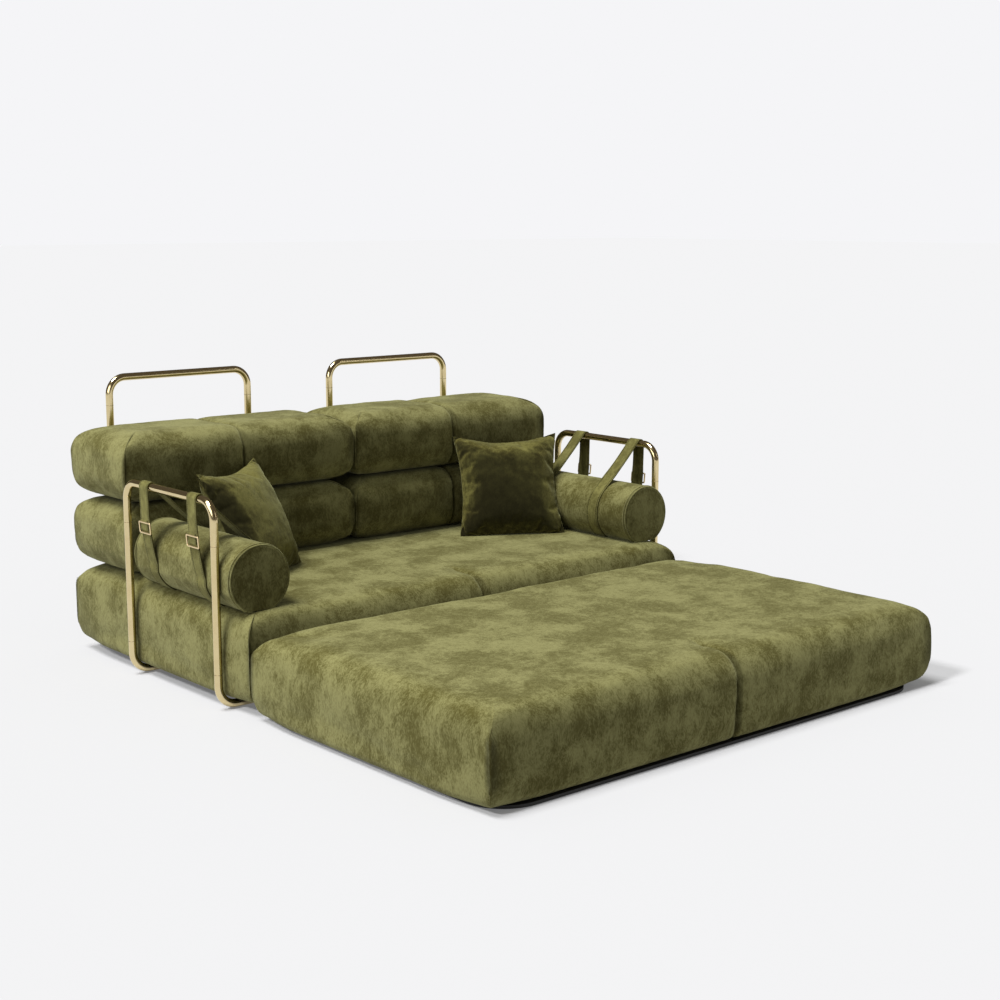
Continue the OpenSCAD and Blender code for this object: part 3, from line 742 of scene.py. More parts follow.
@dataclass(frozen=True)
class VelvetFinish(Finish):
    """Brushed velvet with uneven nap."""

    dark: Rgb
    light: Rgb
    sheen: Rgb
    sheen_weight: float = 0.25
    patch_scale: float = 7.5
    fleck_scale: float = 42.0
    grain: float = 0.3
    # Painted sheen: how dark the pile is painted where it faces the camera
    end_dark: float = 0.6
    # Painted shade: how dark the pile is painted where the block marks shade
    crease_dark: float = 0.62
    stitched: bool = False

    def dress(self, desk: NodeDesk, shader: Node) -> None:
        """Velvet's colour, sheen and nap.

        Args:
            desk: The material's tree.
            shader: Its shader.
        """
        group = desk.add(
            "ShaderNodeGroup", node_tree=NAP.tree(), Dark_Color=self.dark, Light_Color=self.light,
            Patch_Scale=self.patch_scale, Fleck_Scale=self.fleck_scale, Grain=self.grain,
        )
        color, height = group.outputs["Color"], group.outputs["Height"]
        if self.stitched:
            color, height = self.stitches(desk, color, height)
        desk.fill(
            shader, Base_Color=self.shade_pile(desk, color), Roughness=0.9, Specular_IOR_Level=0.08,
            Sheen_Weight=self.sheen_weight, Sheen_Roughness=0.45, Sheen_Tint=self.sheen,
        )
        bump(desk, shader, height, 0.0012, 0.55)

    def shade_of(self, share: float) -> Rgb:
        """The dark colour, dimmed to a share of itself."""
        return tuple(c * share for c in self.dark)

    def shade_pile(self, desk: NodeDesk, color: Socket) -> Socket:
        """Paint shade on the pile: darker where it is seen end on, a painted sheen contrast, and where the
        block marks painted shade.

        Args:
            desk: The material's tree.
            color: The velvet's colour.

        Returns:
            The shaded colour.
        """
        # Painted sheen: the pile is painted darker where it faces the camera
        facing = desk.add("ShaderNodeLayerWeight", Blend=0.5).outputs["Facing"]
        face_on_shade = desk.math("SUBTRACT", 1.0, desk.ramp(facing, 0.0, SHEEN_SHADE_FACING))
        # Painted shade stored on the blocks: beside the corner seams, in the channel and where parts touch
        crease = desk.add("ShaderNodeAttribute", attribute_name="crease").outputs["Fac"]
        beside = desk.math("MULTIPLY", crease, self.crease_dark)
        dark = desk.math("MAXIMUM", desk.math("MULTIPLY", face_on_shade, self.end_dark), beside)
        return desk.mix(dark, color, self.shade_of(0.12))

    def stitches(self, desk: NodeDesk, color: Socket, height: Socket) -> tuple[Socket, Socket]:
        """Two rows of stitches along a strap, and painted shade along its edges, by its own UV map.

        Args:
            desk: The material's tree.
            color: The velvet's colour.
            height: The velvet's height.

        Returns:
            The colour and height with the stitches in them.
        """
        strap_map = desk.add("ShaderNodeUVMap", uv_map="strap").outputs["UV"]
        parts = desk.add("ShaderNodeSeparateXYZ", Vector=strap_map)
        across = desk.math("ABSOLUTE", parts.outputs["Y"])
        off = desk.math("ABSOLUTE", desk.math("SUBTRACT", across, STITCH_ROW))
        row = desk.math("LESS_THAN", off, STITCH_HALF)
        wave = desk.math("SINE", desk.math("MULTIPLY", parts.outputs["X"], STITCH_PACE))
        stitch = desk.math("MULTIPLY", row, desk.math("GREATER_THAN", wave, STITCH_GAP))
        # Painted shade: the strap darkens towards its edges
        edge = desk.ramp(across, STRAP_EDGE_SHADE, 1.0)
        edge_shaded = desk.mix(desk.math("MULTIPLY", edge, 0.55), color, self.shade_of(0.3))
        thread = desk.mix(desk.math("MULTIPLY", stitch, 0.9), edge_shaded, self.shade_of(0.15))
        return thread, desk.math("SUBTRACT", height, desk.math("MULTIPLY", stitch, 0.8))


@dataclass(frozen=True)
class HardFinish(Finish):
    """Polished or plated metal, or moulded plastic, with faint uneven polish."""

    clean: Rgb
    dull: Rgb
    roughness: float
    spread: float = 0.06
    tarnish: float = 0.35
    metallic: float = 1.0
    fine_scale: float = FINE_SCALE
    relief: float = 0.00005
    relief_share: float = 0.15

    def dress(self, desk: NodeDesk, shader: Node) -> None:
        """The surface's colour and polish.

        Args:
            desk: The material's tree.
            shader: Its shader.
        """
        group = desk.add(
            "ShaderNodeGroup", node_tree=POLISH.tree(), Clean_Color=self.clean, Dull_Color=self.dull,
            Roughness=self.roughness, Roughness_Spread=self.spread, Tarnish=self.tarnish,
            Fine_Scale=self.fine_scale,
        )
        color, rough = group.outputs["Color"], group.outputs["Roughness"]
        desk.fill(shader, Base_Color=color, Roughness=rough, Metallic=self.metallic)
        bump(desk, shader, group.outputs["Height"], self.relief, self.relief_share)


@dataclass(frozen=True)
class TimberFinish(Finish):
    """Sawn or painted wood with long grain."""

    dark: Rgb
    light: Rgb
    roughness: float = 0.6

    def dress(self, desk: NodeDesk, shader: Node) -> None:
        """Wood's colour and grain.

        Args:
            desk: The material's tree.
            shader: Its shader.
        """
        colors = {"Dark_Color": self.dark, "Light_Color": self.light}
        group = desk.add("ShaderNodeGroup", node_tree=STREAKS.tree(), **colors)
        desk.fill(shader, Base_Color=group.outputs["Color"], Roughness=self.roughness)
        bump(desk, shader, group.outputs["Height"], 0.0006, 0.3)


VELVET = VelvetFinish(
    "olive_velvet", (0.070, 0.061, 0.013), (0.198, 0.188, 0.074), (0.84, 0.86, 0.52), fleck_scale=55.0
)
# Painted shade: the pillows' velvet is the sofa's velvet, painted darker
SHADED_PILLOW_VELVET = VelvetFinish(
    "olive_pillow_velvet", (0.050, 0.042, 0.008), (0.130, 0.119, 0.032), (0.84, 0.86, 0.48), patch_scale=9.0,
    fleck_scale=60.0, end_dark=0.92,
)
STRAP_VELVET = VelvetFinish(
    "olive_strap_velvet", (0.088, 0.079, 0.022), (0.168, 0.157, 0.051), (0.84, 0.86, 0.52), sheen_weight=0.15,
    patch_scale=18.0, stitched=True,
)
# Painted highlight: welts and piping cords, painted lighter than the velvet they are sewn in
WELT_HIGHLIGHT = VelvetFinish(
    "olive_seam_welt", (0.15, 0.14, 0.052), (0.24, 0.23, 0.09), (0.85, 0.88, 0.66), patch_scale=30.0
)
# Painted shade: thin lines in the corner seams, painted dark as their shade
SEAM_SHADE = VelvetFinish(
    "olive_seam_shade", (0.03, 0.027, 0.008), (0.045, 0.041, 0.013), (0.6, 0.6, 0.4), sheen_weight=0.05,
    patch_scale=30.0,
)
BRASS = HardFinish("pale_brass", (0.72, 0.605, 0.345), (0.58, 0.44, 0.21), 0.15)
BUCKLE_BRASS = HardFinish("buckle_brass", (0.74, 0.62, 0.36), (0.58, 0.46, 0.24), 0.22)
ZINC = HardFinish("zinc_plate", (0.66, 0.66, 0.68), (0.45, 0.45, 0.47), 0.35, 0.15)
BRONZE_LINE = HardFinish("dark_joint_line", (0.16, 0.11, 0.06), (0.1, 0.07, 0.04), 0.4)
BLACK_BOARD = TimberFinish("black_board", (0.006, 0.006, 0.006), (0.014, 0.014, 0.013), 0.55)
PINE = TimberFinish("pine", (0.52, 0.34, 0.17), (0.72, 0.54, 0.32))
MOULDED = {
    "spread": 0.15, "tarnish": 0.4, "metallic": 0.0, "fine_scale": 700.0, "relief": 0.0003,
    "relief_share": 0.3,
}
BLACK_PLASTIC = HardFinish("black_plastic", (0.012, 0.012, 0.012), (0.03, 0.03, 0.03), 0.5, **MOULDED)
ROLLER_RUBBER = HardFinish("roller_rubber", (0.02, 0.02, 0.02), (0.05, 0.05, 0.05), 0.7, **MOULDED)


# Padded blocks and cushions


@dataclass
class PaddedBlock:
    """A squared, crowned block with mitred corners and a sewn channel.

    Lengths are in metres. The fields that end in from, over, power, dark or share say where an effect
    starts, over what length it fades, how, and how strong it is.
    """

    name: str
    node: str
    body: str
    channel: Channel
    seed: float
    edge_radius: float = 0.095
    low_radius: float = 0.030
    front_low_radius: float = 0.046
    corner_radius: float = 0.012
    corner_growth: float = 0.3
    corner_pull: float = 0.5
    corner_reach: float = 0.12
    softness: float = 2.3
    crown: float = 0.008
    side_crown: float = 0.005
    channel_depth: float = 0.016
    channel_half: float = 0.022
    spacing: float = 0.036
    slack: float = 0.012
    cap: float = 0.007
    proud: float = 0.0
    overhang: float = 0.002
    still_height: float = 0.07
    pressure: float = 1.2
    stiffness: float = 2.0
    sewn_from: float = 0.86
    welt_from: float = 0.8
    seam_clear: float = 0.6
    seam_radius: float = 0.0007
    welt_radius: float = 0.0014
    # Painted shade: how far it reaches beside the corner seams, in the channel, at the foot and at a lower
    # cushion's top; the fields from deep to upright_over set its strength and where it stops
    seam_shade: float = 0.042
    channel_shade: float = 0.007
    foot_shade: float = 0.006
    cover_shade: float = 0.008
    deep: float = 1.3
    channel_dark: float = 0.8
    face_from: float = 0.03
    face_over: float = 0.02
    shade_from: float = 0.8
    shade_over: float = 0.12
    upright_from: float = 0.35
    upright_over: float = 0.06
    crown_power: float = 0.6
    end_crown: float = 0.003
    lip_share: float = 0.65
    lip_power: float = 2.2
    run_from: float = 0.78
    run_over: float = 0.16
    top_dip: float = 0.9
    folds: tuple[tuple[float, float, float], ...] = ((0.17, 0.004, 0.0), (0.06, 0.0016, 9.0))
    _half: Vector = field(default_factory=lambda: Vector((0, 0, 0)))

    def build(self) -> Piece:
        """Make the block in the space of its CAD node.

        Returns:
            The finished, painted piece.
        """
        low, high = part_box(self.node)
        centre, self._half = (low + high) / 2, (high - low) / 2
        piece = new_box(self.name, low, high)
        self.cut_grid(piece, low, high)
        points = read_points(piece) - np.array(centre)
        hx, hy, hz = self._half
        sides = np.isclose(abs(points[:, :2]), (hx, hy), atol=TOUCH)
        corner = sides[:, 0] & sides[:, 1]
        sewn = np.isclose(points[:, 0], 0, atol=TOUCH)
        if self.channel is Channel.FRONT_EDGE:
            sewn &= self.on_front_edge(points, self.sewn_from)
        shaped = self.shape(points) + np.array(centre)
        write_points(piece, shaped)
        held = sewn | (corner & (abs(points[:, 2]) < hz - self.edge_radius * self.seam_clear))
        inflate(piece, self.pressure, self.cap, np.flatnonzero(held), self.slack, bend=self.stiffness)
        for size, height, offset in self.folds:
            roughen(piece, size, height, self.seed + offset, held.astype(float))
        self.keep_inside(piece, shaped, low, high)
        seams = self.seam_lines(read_points(piece), points, corner)
        subdivide_piece(piece)
        roughen(piece, 0.03, 0.0006, self.seed + 5)
        self.mark_creases(piece, centre)
        VELVET.paint(piece)
        shade(piece, 60)
        join_pieces(piece, seams)
        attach(piece, self.body)
        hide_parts(self.node)
        log.info("%s: %d faces", self.name, len(piece.data.polygons))
        return piece

    def on_front_edge(self, points: np.ndarray, back: float) -> np.ndarray:
        """Mark the points of the front face and of the top's front strip.

        Args:
            points: Rows of X, Y and Z from the box's middle.
            back: How far back the strip reaches, as a share of half the depth.

        Returns:
            The marks.
        """
        _, hy, hz = self._half
        on_top = (points[:, 1] < -hy * back) & (points[:, 2] > hz - TOUCH)
        return (points[:, 1] < -hy + TOUCH) | on_top

    def mark_creases(self, piece: Piece, centre: Vector) -> None:
        """Store where shade is painted on the pile: beside the corner seams, in the channel, at the foot, and
        at a lower cushion's top.

        Args:
            piece: The finished block.
            centre: Its middle.
        """
        hx, hy, hz = self._half
        points = read_points(piece) - np.array(centre)
        height = points[:, 2] + hz
        points = abs(points)
        # Painted shade beside the corner seams, on the front and back faces below the top edge
        beside = bell(np.maximum(hx - points[:, 0], 0), self.seam_shade)
        face = smooth_step((points[:, 1] - hy + self.face_from) / self.face_over)
        off_top = hz - points[:, 2] - self.edge_radius * self.upright_from
        upright = smooth_step(off_top / self.upright_over)
        # Painted shade in the channel, and at the foot and a lower cushion's top where other parts touch
        channel_and_contact_shade = self.channel_dark * bell(points[:, 0], self.channel_shade)
        if self.channel is Channel.FRONT_EDGE:
            channel_and_contact_shade *= smooth_step((points[:, 1] - hy * self.shade_from) / (hy * self.shade_over))
        channel_and_contact_shade = np.maximum(channel_and_contact_shade, self.deep * bell(np.maximum(height, 0), self.foot_shade))
        if "lower" in self.node:
            channel_and_contact_shade = np.maximum(channel_and_contact_shade, self.deep * bell(np.maximum(2 * hz - height, 0), self.cover_shade))
        layer = piece.data.attributes.new("crease", "FLOAT", "POINT")
        layer.data.foreach_set("value", np.maximum(beside * face * upright, channel_and_contact_shade).astype(np.float32))

    def keep_inside(self, piece: Piece, shaped: np.ndarray, low: Vector, high: Vector) -> None:
        """Keep the filled block within its CAD box, and its lower margin as it was shaped.

        Args:
            piece: The filled block.
            shaped: Its points before it was filled.
            low: The box's lowest corner.
            high: The box's highest corner.
        """
        points = read_points(piece)
        free = smooth_step((points[:, 2] - low.z - self.still_height * 0.4) / self.still_height)[:, None]
        points = shaped + (points - shaped) * free
        spare = (self.overhang + self.proud) * np.array([1.0, 1.0, 0.0])
        write_points(piece, np.clip(points, np.array(low) - spare, np.array(high) + spare))

    def cut_grid(self, piece: Piece, low: Vector, high: Vector) -> None:
        """Cut the box into a grid, close at the channel and in the rounded edges.

        Args:
            piece: The plain box.
            low: Its lowest corner.
            high: Its highest corner.
        """
        middle, half = (low.x + high.x) / 2, self.channel_half
        near = [middle + half * s for s in CHANNEL_CUTS]
        start = [low.x + e for e in END_CUTS]
        slice_across(piece, 0, start + even_places(low.x, middle - half, self.spacing) + near)
        end = [high.x - e for e in END_CUTS]
        slice_across(piece, 0, even_places(middle + half, high.x, self.spacing) + end)
        slice_across(piece, 1, [low.y + e for e in END_CUTS] + even_places(low.y, high.y, self.spacing))
        slice_across(piece, 1, [high.y - e for e in END_CUTS])
        turn = [math.radians(a) for a in EDGE_TURNS]
        rise = [self.edge_radius * (1 - math.cos(a) ** (2 / self.softness)) for a in turn]
        levels = [low.z + r for r in rise] + [high.z - r for r in reversed(rise)]
        middle_z = [low.z + self.edge_radius, (low.z + high.z) / 2, high.z - self.edge_radius]
        if self.low_radius < self.edge_radius:
            levels += [low.z + self.low_radius * share for share in LOW_CUTS]
        slice_across(piece, 2, levels + middle_z)

    def shape(self, points: np.ndarray) -> np.ndarray:
        """Turn points of the box into points of the soft block.

        Args:
            points: Rows of X, Y and Z from the box's middle.

        Returns:
            The moved points.
        """
        hx, hy, hz = self._half
        x, y, z = points[:, 0].copy(), points[:, 1].copy(), points[:, 2].copy()
        off_corner = hx - abs(x) + hy - abs(y)
        cornered = bell(off_corner, self.corner_reach)
        full = self.rounding(hz + z, self.edge_radius)
        under = self.rounding(hz + z, self.low_radius)
        front_radius = max(self.low_radius, self.front_low_radius)
        front = self.rounding(hz + z, np.where(y < 0, front_radius, self.low_radius))
        above = self.rounding(hz - z, self.edge_radius)
        inset = np.where(z > 0, above, under + (full - under) * cornered * self.corner_pull)
        pulled = front + (np.maximum(full, front) - front) * cornered * self.corner_pull
        inset_y = np.where(z > 0, above, pulled)
        panels = self.channel is Channel.ALL_ROUND
        reach = hx / 2 if panels else hx
        off = (abs(x) - reach) / reach if panels else x / reach
        puff_x, puff_y, puff_z = dome(off), dome(y / hy), dome(z / hz)
        top = smooth_step(z / hz)
        z = z - self.crown * (1 - np.power(puff_x * puff_y, self.crown_power)) * top
        x = x * (1 - inset / hx) * (1 - self.end_crown * (1 - puff_y * puff_z) / hx)
        y = y * (1 - inset_y / hy) * (1 - self.side_crown * (1 - puff_x * puff_z) / hy)
        x = x * (1 + self.proud / hx)
        y = np.where(y < 0, y * (1 + self.proud / hy), y)
        radius = self.corner_radius + self.corner_growth * inset
        x, y = self.round_corners(x, y, hx - inset + self.proud, hy - inset_y, radius)
        near = np.clip(abs(points[:, 0]) / self.channel_half, 0, 1)
        sharp = self.lip_share * (1 - near) ** self.lip_power
        dip = self.channel_depth * (sharp + (1 - self.lip_share) * (1 - smooth_step(near)))
        if panels:
            y = y * (1 - dip / hy)
            z = np.where(z > 0, z * (1 - dip / hz), z)
            return np.stack([x, y, z], axis=1)
        front = smooth_step((-points[:, 1] / hy - self.run_from) / self.run_over)
        y = y + dip * front
        z = z - dip * front * top * self.top_dip
        return np.stack([x, y, z], axis=1)

    def round_corners(
        self, x: np.ndarray, y: np.ndarray, reach_x: np.ndarray, reach_y: np.ndarray, radius: np.ndarray
    ) -> tuple[np.ndarray, np.ndarray]:
        """Round the vertical corners, more and more towards the top and the bottom.

        Args:
            x: Places across from the middle.
            y: Places along from the middle.
            reach_x: Half the block's width at each point's height.
            reach_y: Half the block's depth at each point's height.
            radius: The corner's radius at each point's height.

        Returns:
            The new places across and along.
        """
        off_x = np.maximum(abs(x) - (reach_x - radius), 0)
        off_y = np.maximum(abs(y) - (reach_y - radius), 0)
        length = np.maximum(np.hypot(off_x, off_y), 1e-9)
        shrink = np.where((off_x > 0) & (off_y > 0), np.maximum(off_x, off_y) / length, 1.0)
        new_x = np.sign(x) * (abs(x) - off_x + off_x * shrink)
        new_y = np.sign(y) * (abs(y) - off_y + off_y * shrink)
        return new_x, new_y

    def rounding(self, depth: np.ndarray, radius: object) -> np.ndarray:
        """How far a rounded edge stands back.

        Args:
            depth: Distance of each point from the flat top or bottom.
            radius: The edge's radius, one or one for each point.

        Returns:
            The distance from the flat side, for each point.
        """
        share, n = np.clip(1 - depth / radius, 0, 1), self.softness
        return radius * (1 - np.power(np.clip(1 - np.power(share, n), 0, 1), 1 / n))

    def seam_lines(self, now: np.ndarray, start: np.ndarray, corner: np.ndarray) -> list[Piece]:
        """Thin seam lines down the corners, painted dark as the seams' shade, and a welt along one lip of the
        channel, painted light as a highlight on it.

        Args:
            now: The block's points as they are.
            start: The same points on the plain box, from its middle.
            corner: Marks the points of the four vertical corners.

        Returns:
            The seams and the welt.
        """
        _, hy, hz = self._half
        paths = []
        clear = hz - self.edge_radius * self.seam_clear
        upright = corner & (start[:, 2] < clear) & (start[:, 2] > -clear)
        for sx in (-1, 1):
            for sy in (-1, 1):
                pick = np.flatnonzero(upright & (start[:, 0] * sx > 0) & (start[:, 1] * sy > 0))
                paths.append(now[pick[np.argsort(start[pick, 2])]])
        # A thin line down each corner, painted dark as the seam's shade
        corners = line_piece(self.name + "_corner_seams", paths, self.seam_radius)
        SEAM_SHADE.paint(corners)
        lip = -self.channel_half * 0.5
        skin = (abs(abs(start[:, 1]) - hy) < TOUCH) | (abs(abs(start[:, 2]) - hz) < TOUCH)
        on = np.isclose(start[:, 0], lip, atol=TOUCH) & skin
        closed = self.channel is Channel.ALL_ROUND
        if not closed:
            on &= self.on_front_edge(start, self.welt_from)
        pick = np.flatnonzero(on)
        turn = np.arctan2(start[pick, 2], start[pick, 1])
        if not closed:
            turn = np.where(turn < 0, turn + 2 * math.pi, turn) * -1
        path = now[pick[np.argsort(turn)]]
        # The welt is painted lighter than the velvet: a painted highlight on the lip
        welt = line_piece(self.name + "_channel_welt", [path], self.welt_radius, closed)
        WELT_HIGHLIGHT.paint(welt)
        shade(corners, 60)
        shade(welt, 60)
        return [corners, welt]


@dataclass
class ScatterCushion:
    """A square knife-edged cushion, filled by cloth simulation and leaned on the back."""

    side: Side
    seed: float
    width: float = 0.432
    thickness: float = 0.142
    shift: float = 0.016
    draw: float = 0.045
    lean: float = 26.0
    turn: float = 30.0
    seam_gap: float = 0.0045
    side_draw: float = 1.2
    top_draw: float = 2.0
    foot_draw: float = 0.35
    fullness: float = 0.52
    folds: tuple[tuple[float, float, float], ...] = ((0.07, 0.0022, 0.0), (0.025, 0.0007, 3.0))

    def build(self) -> Piece:
        """Make, fill and place the cushion.

        Returns:
            The finished piece.
        """
        node = f"{self.side.word}_scatter_cushion"
        low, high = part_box(node)
        half, thin = self.width / 2, self.seam_gap / 2
        corner = Vector((half, thin, half))
        piece = new_box(f"{self.side.word}_scatter_cushion_cover", -corner, corner)
        places = [half * math.sin(math.radians(a)) for a in range(-85, 90, 5)]
        for axis in (0, 2):
            slice_across(piece, axis, places)
        subdivide_piece(piece, smooth=False)
        edge = self.fatten(piece)
        inflate(piece, 3.0, 0.014, np.flatnonzero(edge), slack=0.035, stretch=12.0, bend=0.05, frames=24)
        for size, height, offset in self.folds:
            roughen(piece, size, height, self.seed + offset)
        subdivide_piece(piece)
        across = self.shift if self.side is Side.RIGHT else 0.0
        piece.data.transform(self.place((low + high) / 2 + Vector((across, 0, 0))))
        piece.data.update()
        SHADED_PILLOW_VELVET.paint(piece)
        shade(piece, 60)
        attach(piece, "scatter_l" if self.side is Side.LEFT else "scatter_r")
        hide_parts(node)
        log.info("%s: %d faces", piece.name, len(piece.data.polygons))
        return piece

    def fatten(self, piece: Piece) -> np.ndarray:
        """Shape the flat cover as a full cushion with its sides drawn in.

        Args:
            piece: The flat cover.

        Returns:
            Marks for the points of its seam.
        """
        points = read_points(piece)
        half = self.width / 2
        u, v = points[:, 0] / half, points[:, 2] / half
        edge = np.maximum(abs(u), abs(v)) > 1 - 1e-4
        fat = np.power(np.clip((1 - u**2) * (1 - v**2), 0, 1), self.fullness)
        points[:, 1] += np.sign(points[:, 1]) * fat * (self.thickness - self.seam_gap) / 2
        drawn = np.where(v > 0, self.draw * self.top_draw, self.draw * self.foot_draw)
        points[:, 0] *= 1 - 2 * self.draw * self.side_draw * (1 - v**2) * abs(u)
        points[:, 2] *= 1 - 2 * drawn * (1 - u**2) * abs(v)
        write_points(piece, points)
        return edge

    def place(self, centre: Vector) -> Matrix:
        """The cushion's place on the seat.

        Args:
            centre: Its middle in the sofa's frame.

        Returns:
            The move from the origin.
        """
        turn = Matrix.Rotation(math.radians(-self.side.value * self.turn), 4, "Z")
        lean = Matrix.Rotation(math.radians(-self.lean), 4, "X")
        return Matrix.Translation(centre) @ turn @ lean


def roll_centre(side: Side) -> Vector:
    """The filled bolster's middle, settled into the seat and a little towards the arm.

    Args:
        side: The bolster's side.

    Returns:
        The middle in metres.
    """
    low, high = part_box(f"{side.word}_bolster")
    x, y, z = ((a + b) / 2 for a, b in zip(low, high))
    return Vector((x + side.value * BOLSTER_SHIFT, y, z - BOLSTER_SINK))


def leg_face(side: Side) -> float:
    """How far from the middle the bolster may reach, just inside the arm's legs."""
    low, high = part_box(f"{side.word}_arm_legs")
    return abs(low.x + high.x) / 2 - (high.x - low.x) / 2 - LEG_CLEARANCE


@dataclass
class Bolster:
    """A round arm bolster with double piping at its ends."""

    side: Side
    seed: float
    rim: float = 0.012
    piping: float = 0.0022
    radius: float = BOLSTER_RADIUS
    crown: float = 0.005
    flat_ease: float = 0.003
    rings: tuple[float, ...] = (0.004, 0.012, 0.022, 0.026, 0.02)
    disc_radius: float = 0.105
    groove_radius: float = 0.1
    groove_depth: float = 0.0015
    groove_width: float = 0.004
    round_segments: int = 112

    def build(self) -> Piece:
        """Turn the bolster and add its piping.

        Returns:
            The finished piece.
        """
        word = self.side.word
        low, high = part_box(f"{word}_bolster")
        centre, radius = roll_centre(self.side), self.radius
        length = high.y - low.y - 2 * self.crown
        deselect_all()
        bpy.ops.mesh.primitive_cylinder_add(
            vertices=self.round_segments, radius=radius, depth=length, location=centre,
            rotation=(math.radians(90), 0, 0),
        )
        piece = named(f"{word}_bolster_cover")
        self.shape_ends(piece, centre, length)
        reach = length / 2 - self.rim
        slice_across(piece, 1, even_places(centre.y - reach, centre.y + reach, 0.02))
        roughen(piece, 0.11, 0.0012, self.seed)
        self.settle(piece, low.z)
        VELVET.paint(piece)
        shade(piece, 50)
        welts = [self.welt(centre, radius, end, length, place) for end in (-1, 1) for place in (0, 1)]
        piece = join_pieces(piece, welts)
        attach(piece, "bolster_l" if self.side is Side.LEFT else "bolster_r")
        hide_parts(f"{word}_bolster", f"{word}_bolster_piping")
        log.info("%s: %d faces", piece.name, len(piece.data.polygons))
        return piece

    def shape_ends(self, piece: Piece, centre: Vector, length: float) -> None:
        """Round the rims and crown the end discs.

        Args:
            piece: The plain cylinder.
            centre: Its middle.
            length: Its length.
        """
        self.edit_ends(piece)
        bpy.ops.mesh.bevel(offset=self.rim, segments=5, affect="EDGES", profile=0.5)
        self.edit_ends(piece)
        for inset in self.rings:
            bpy.ops.mesh.inset(thickness=inset)
        bpy.ops.object.mode_set(mode="OBJECT")
        points = read_points(piece)
        out = np.hypot(points[:, 0] - centre.x, points[:, 2] - centre.z)
        end = abs(points[:, 1] - centre.y) > length / 2 - 1e-4
        crown = self.crown * (1 - np.minimum(out / self.disc_radius, 1) ** 2.5)
        crown -= self.groove_depth * bell(out - self.groove_radius, self.groove_width)
        points[:, 1] += np.where(end, np.sign(points[:, 1] - centre.y) * crown, 0)
        write_points(piece, points)

    def edit_ends(self, piece: Piece) -> None:
        """Open the bolster in edit mode with its two end discs alone selected.

        Args:
            piece: The bolster.
        """
        edit_all(piece)
        bpy.ops.mesh.select_mode(type="FACE")
        bpy.ops.mesh.select_all(action="DESELECT")
        bpy.ops.object.mode_set(mode="OBJECT")
        for polygon in piece.data.polygons:
            polygon.select = len(polygon.vertices) >= self.round_segments
        bpy.ops.object.mode_set(mode="EDIT")

    def settle(self, piece: Piece, seat: float) -> None:
        """Let the bolster lie a little flat on the seat and along the arm's legs.

        Args:
            piece: The bolster.
            seat: Height of the seat under it.
        """
        s = self.side.value
        points = read_points(piece)
        points[:, 2] = np.maximum(points[:, 2], seat + 0.0012)
        over = s * points[:, 0] - leg_face(self.side) + self.flat_ease
        eased = self.flat_ease * (1 - np.exp(-np.maximum(over, 0) / self.flat_ease))
        points[:, 0] = np.where(over > 0, s * (leg_face(self.side) - self.flat_ease + eased), points[:, 0])
        write_points(piece, points)

    def welt(self, centre: Vector, radius: float, end: int, length: float, place: int) -> Piece:
        """One piping cord round a bolster's end.

        Args:
            centre: The bolster's middle.
            radius: The bolster's radius.
            end: -1 for the front end, 1 for the rear.
            length: The bolster's length.
            place: 0 for the cord on the disc's edge, 1 for the one behind it.

        Returns:
            The cord.
        """
        turn = math.radians(45 if place == 0 else 90)
        ring = radius - self.rim + self.rim * math.sin(turn)
        along = centre.y + end * (length / 2 - self.rim + self.rim * math.cos(turn))
        deselect_all()
        bpy.ops.mesh.primitive_torus_add(
            major_radius=ring, minor_radius=self.piping, major_segments=self.round_segments,
            minor_segments=8,
            location=(centre.x, along, centre.z), rotation=(math.radians(90), 0, 0),
        )
        cord = named(f"{self.side.word}_bolster_welt_{'front' if end < 0 else 'rear'}_{place}")
        # The cord is painted lighter than the cover: a painted highlight
        WELT_HIGHLIGHT.paint(cord)
        shade(cord, 80)
        return cord


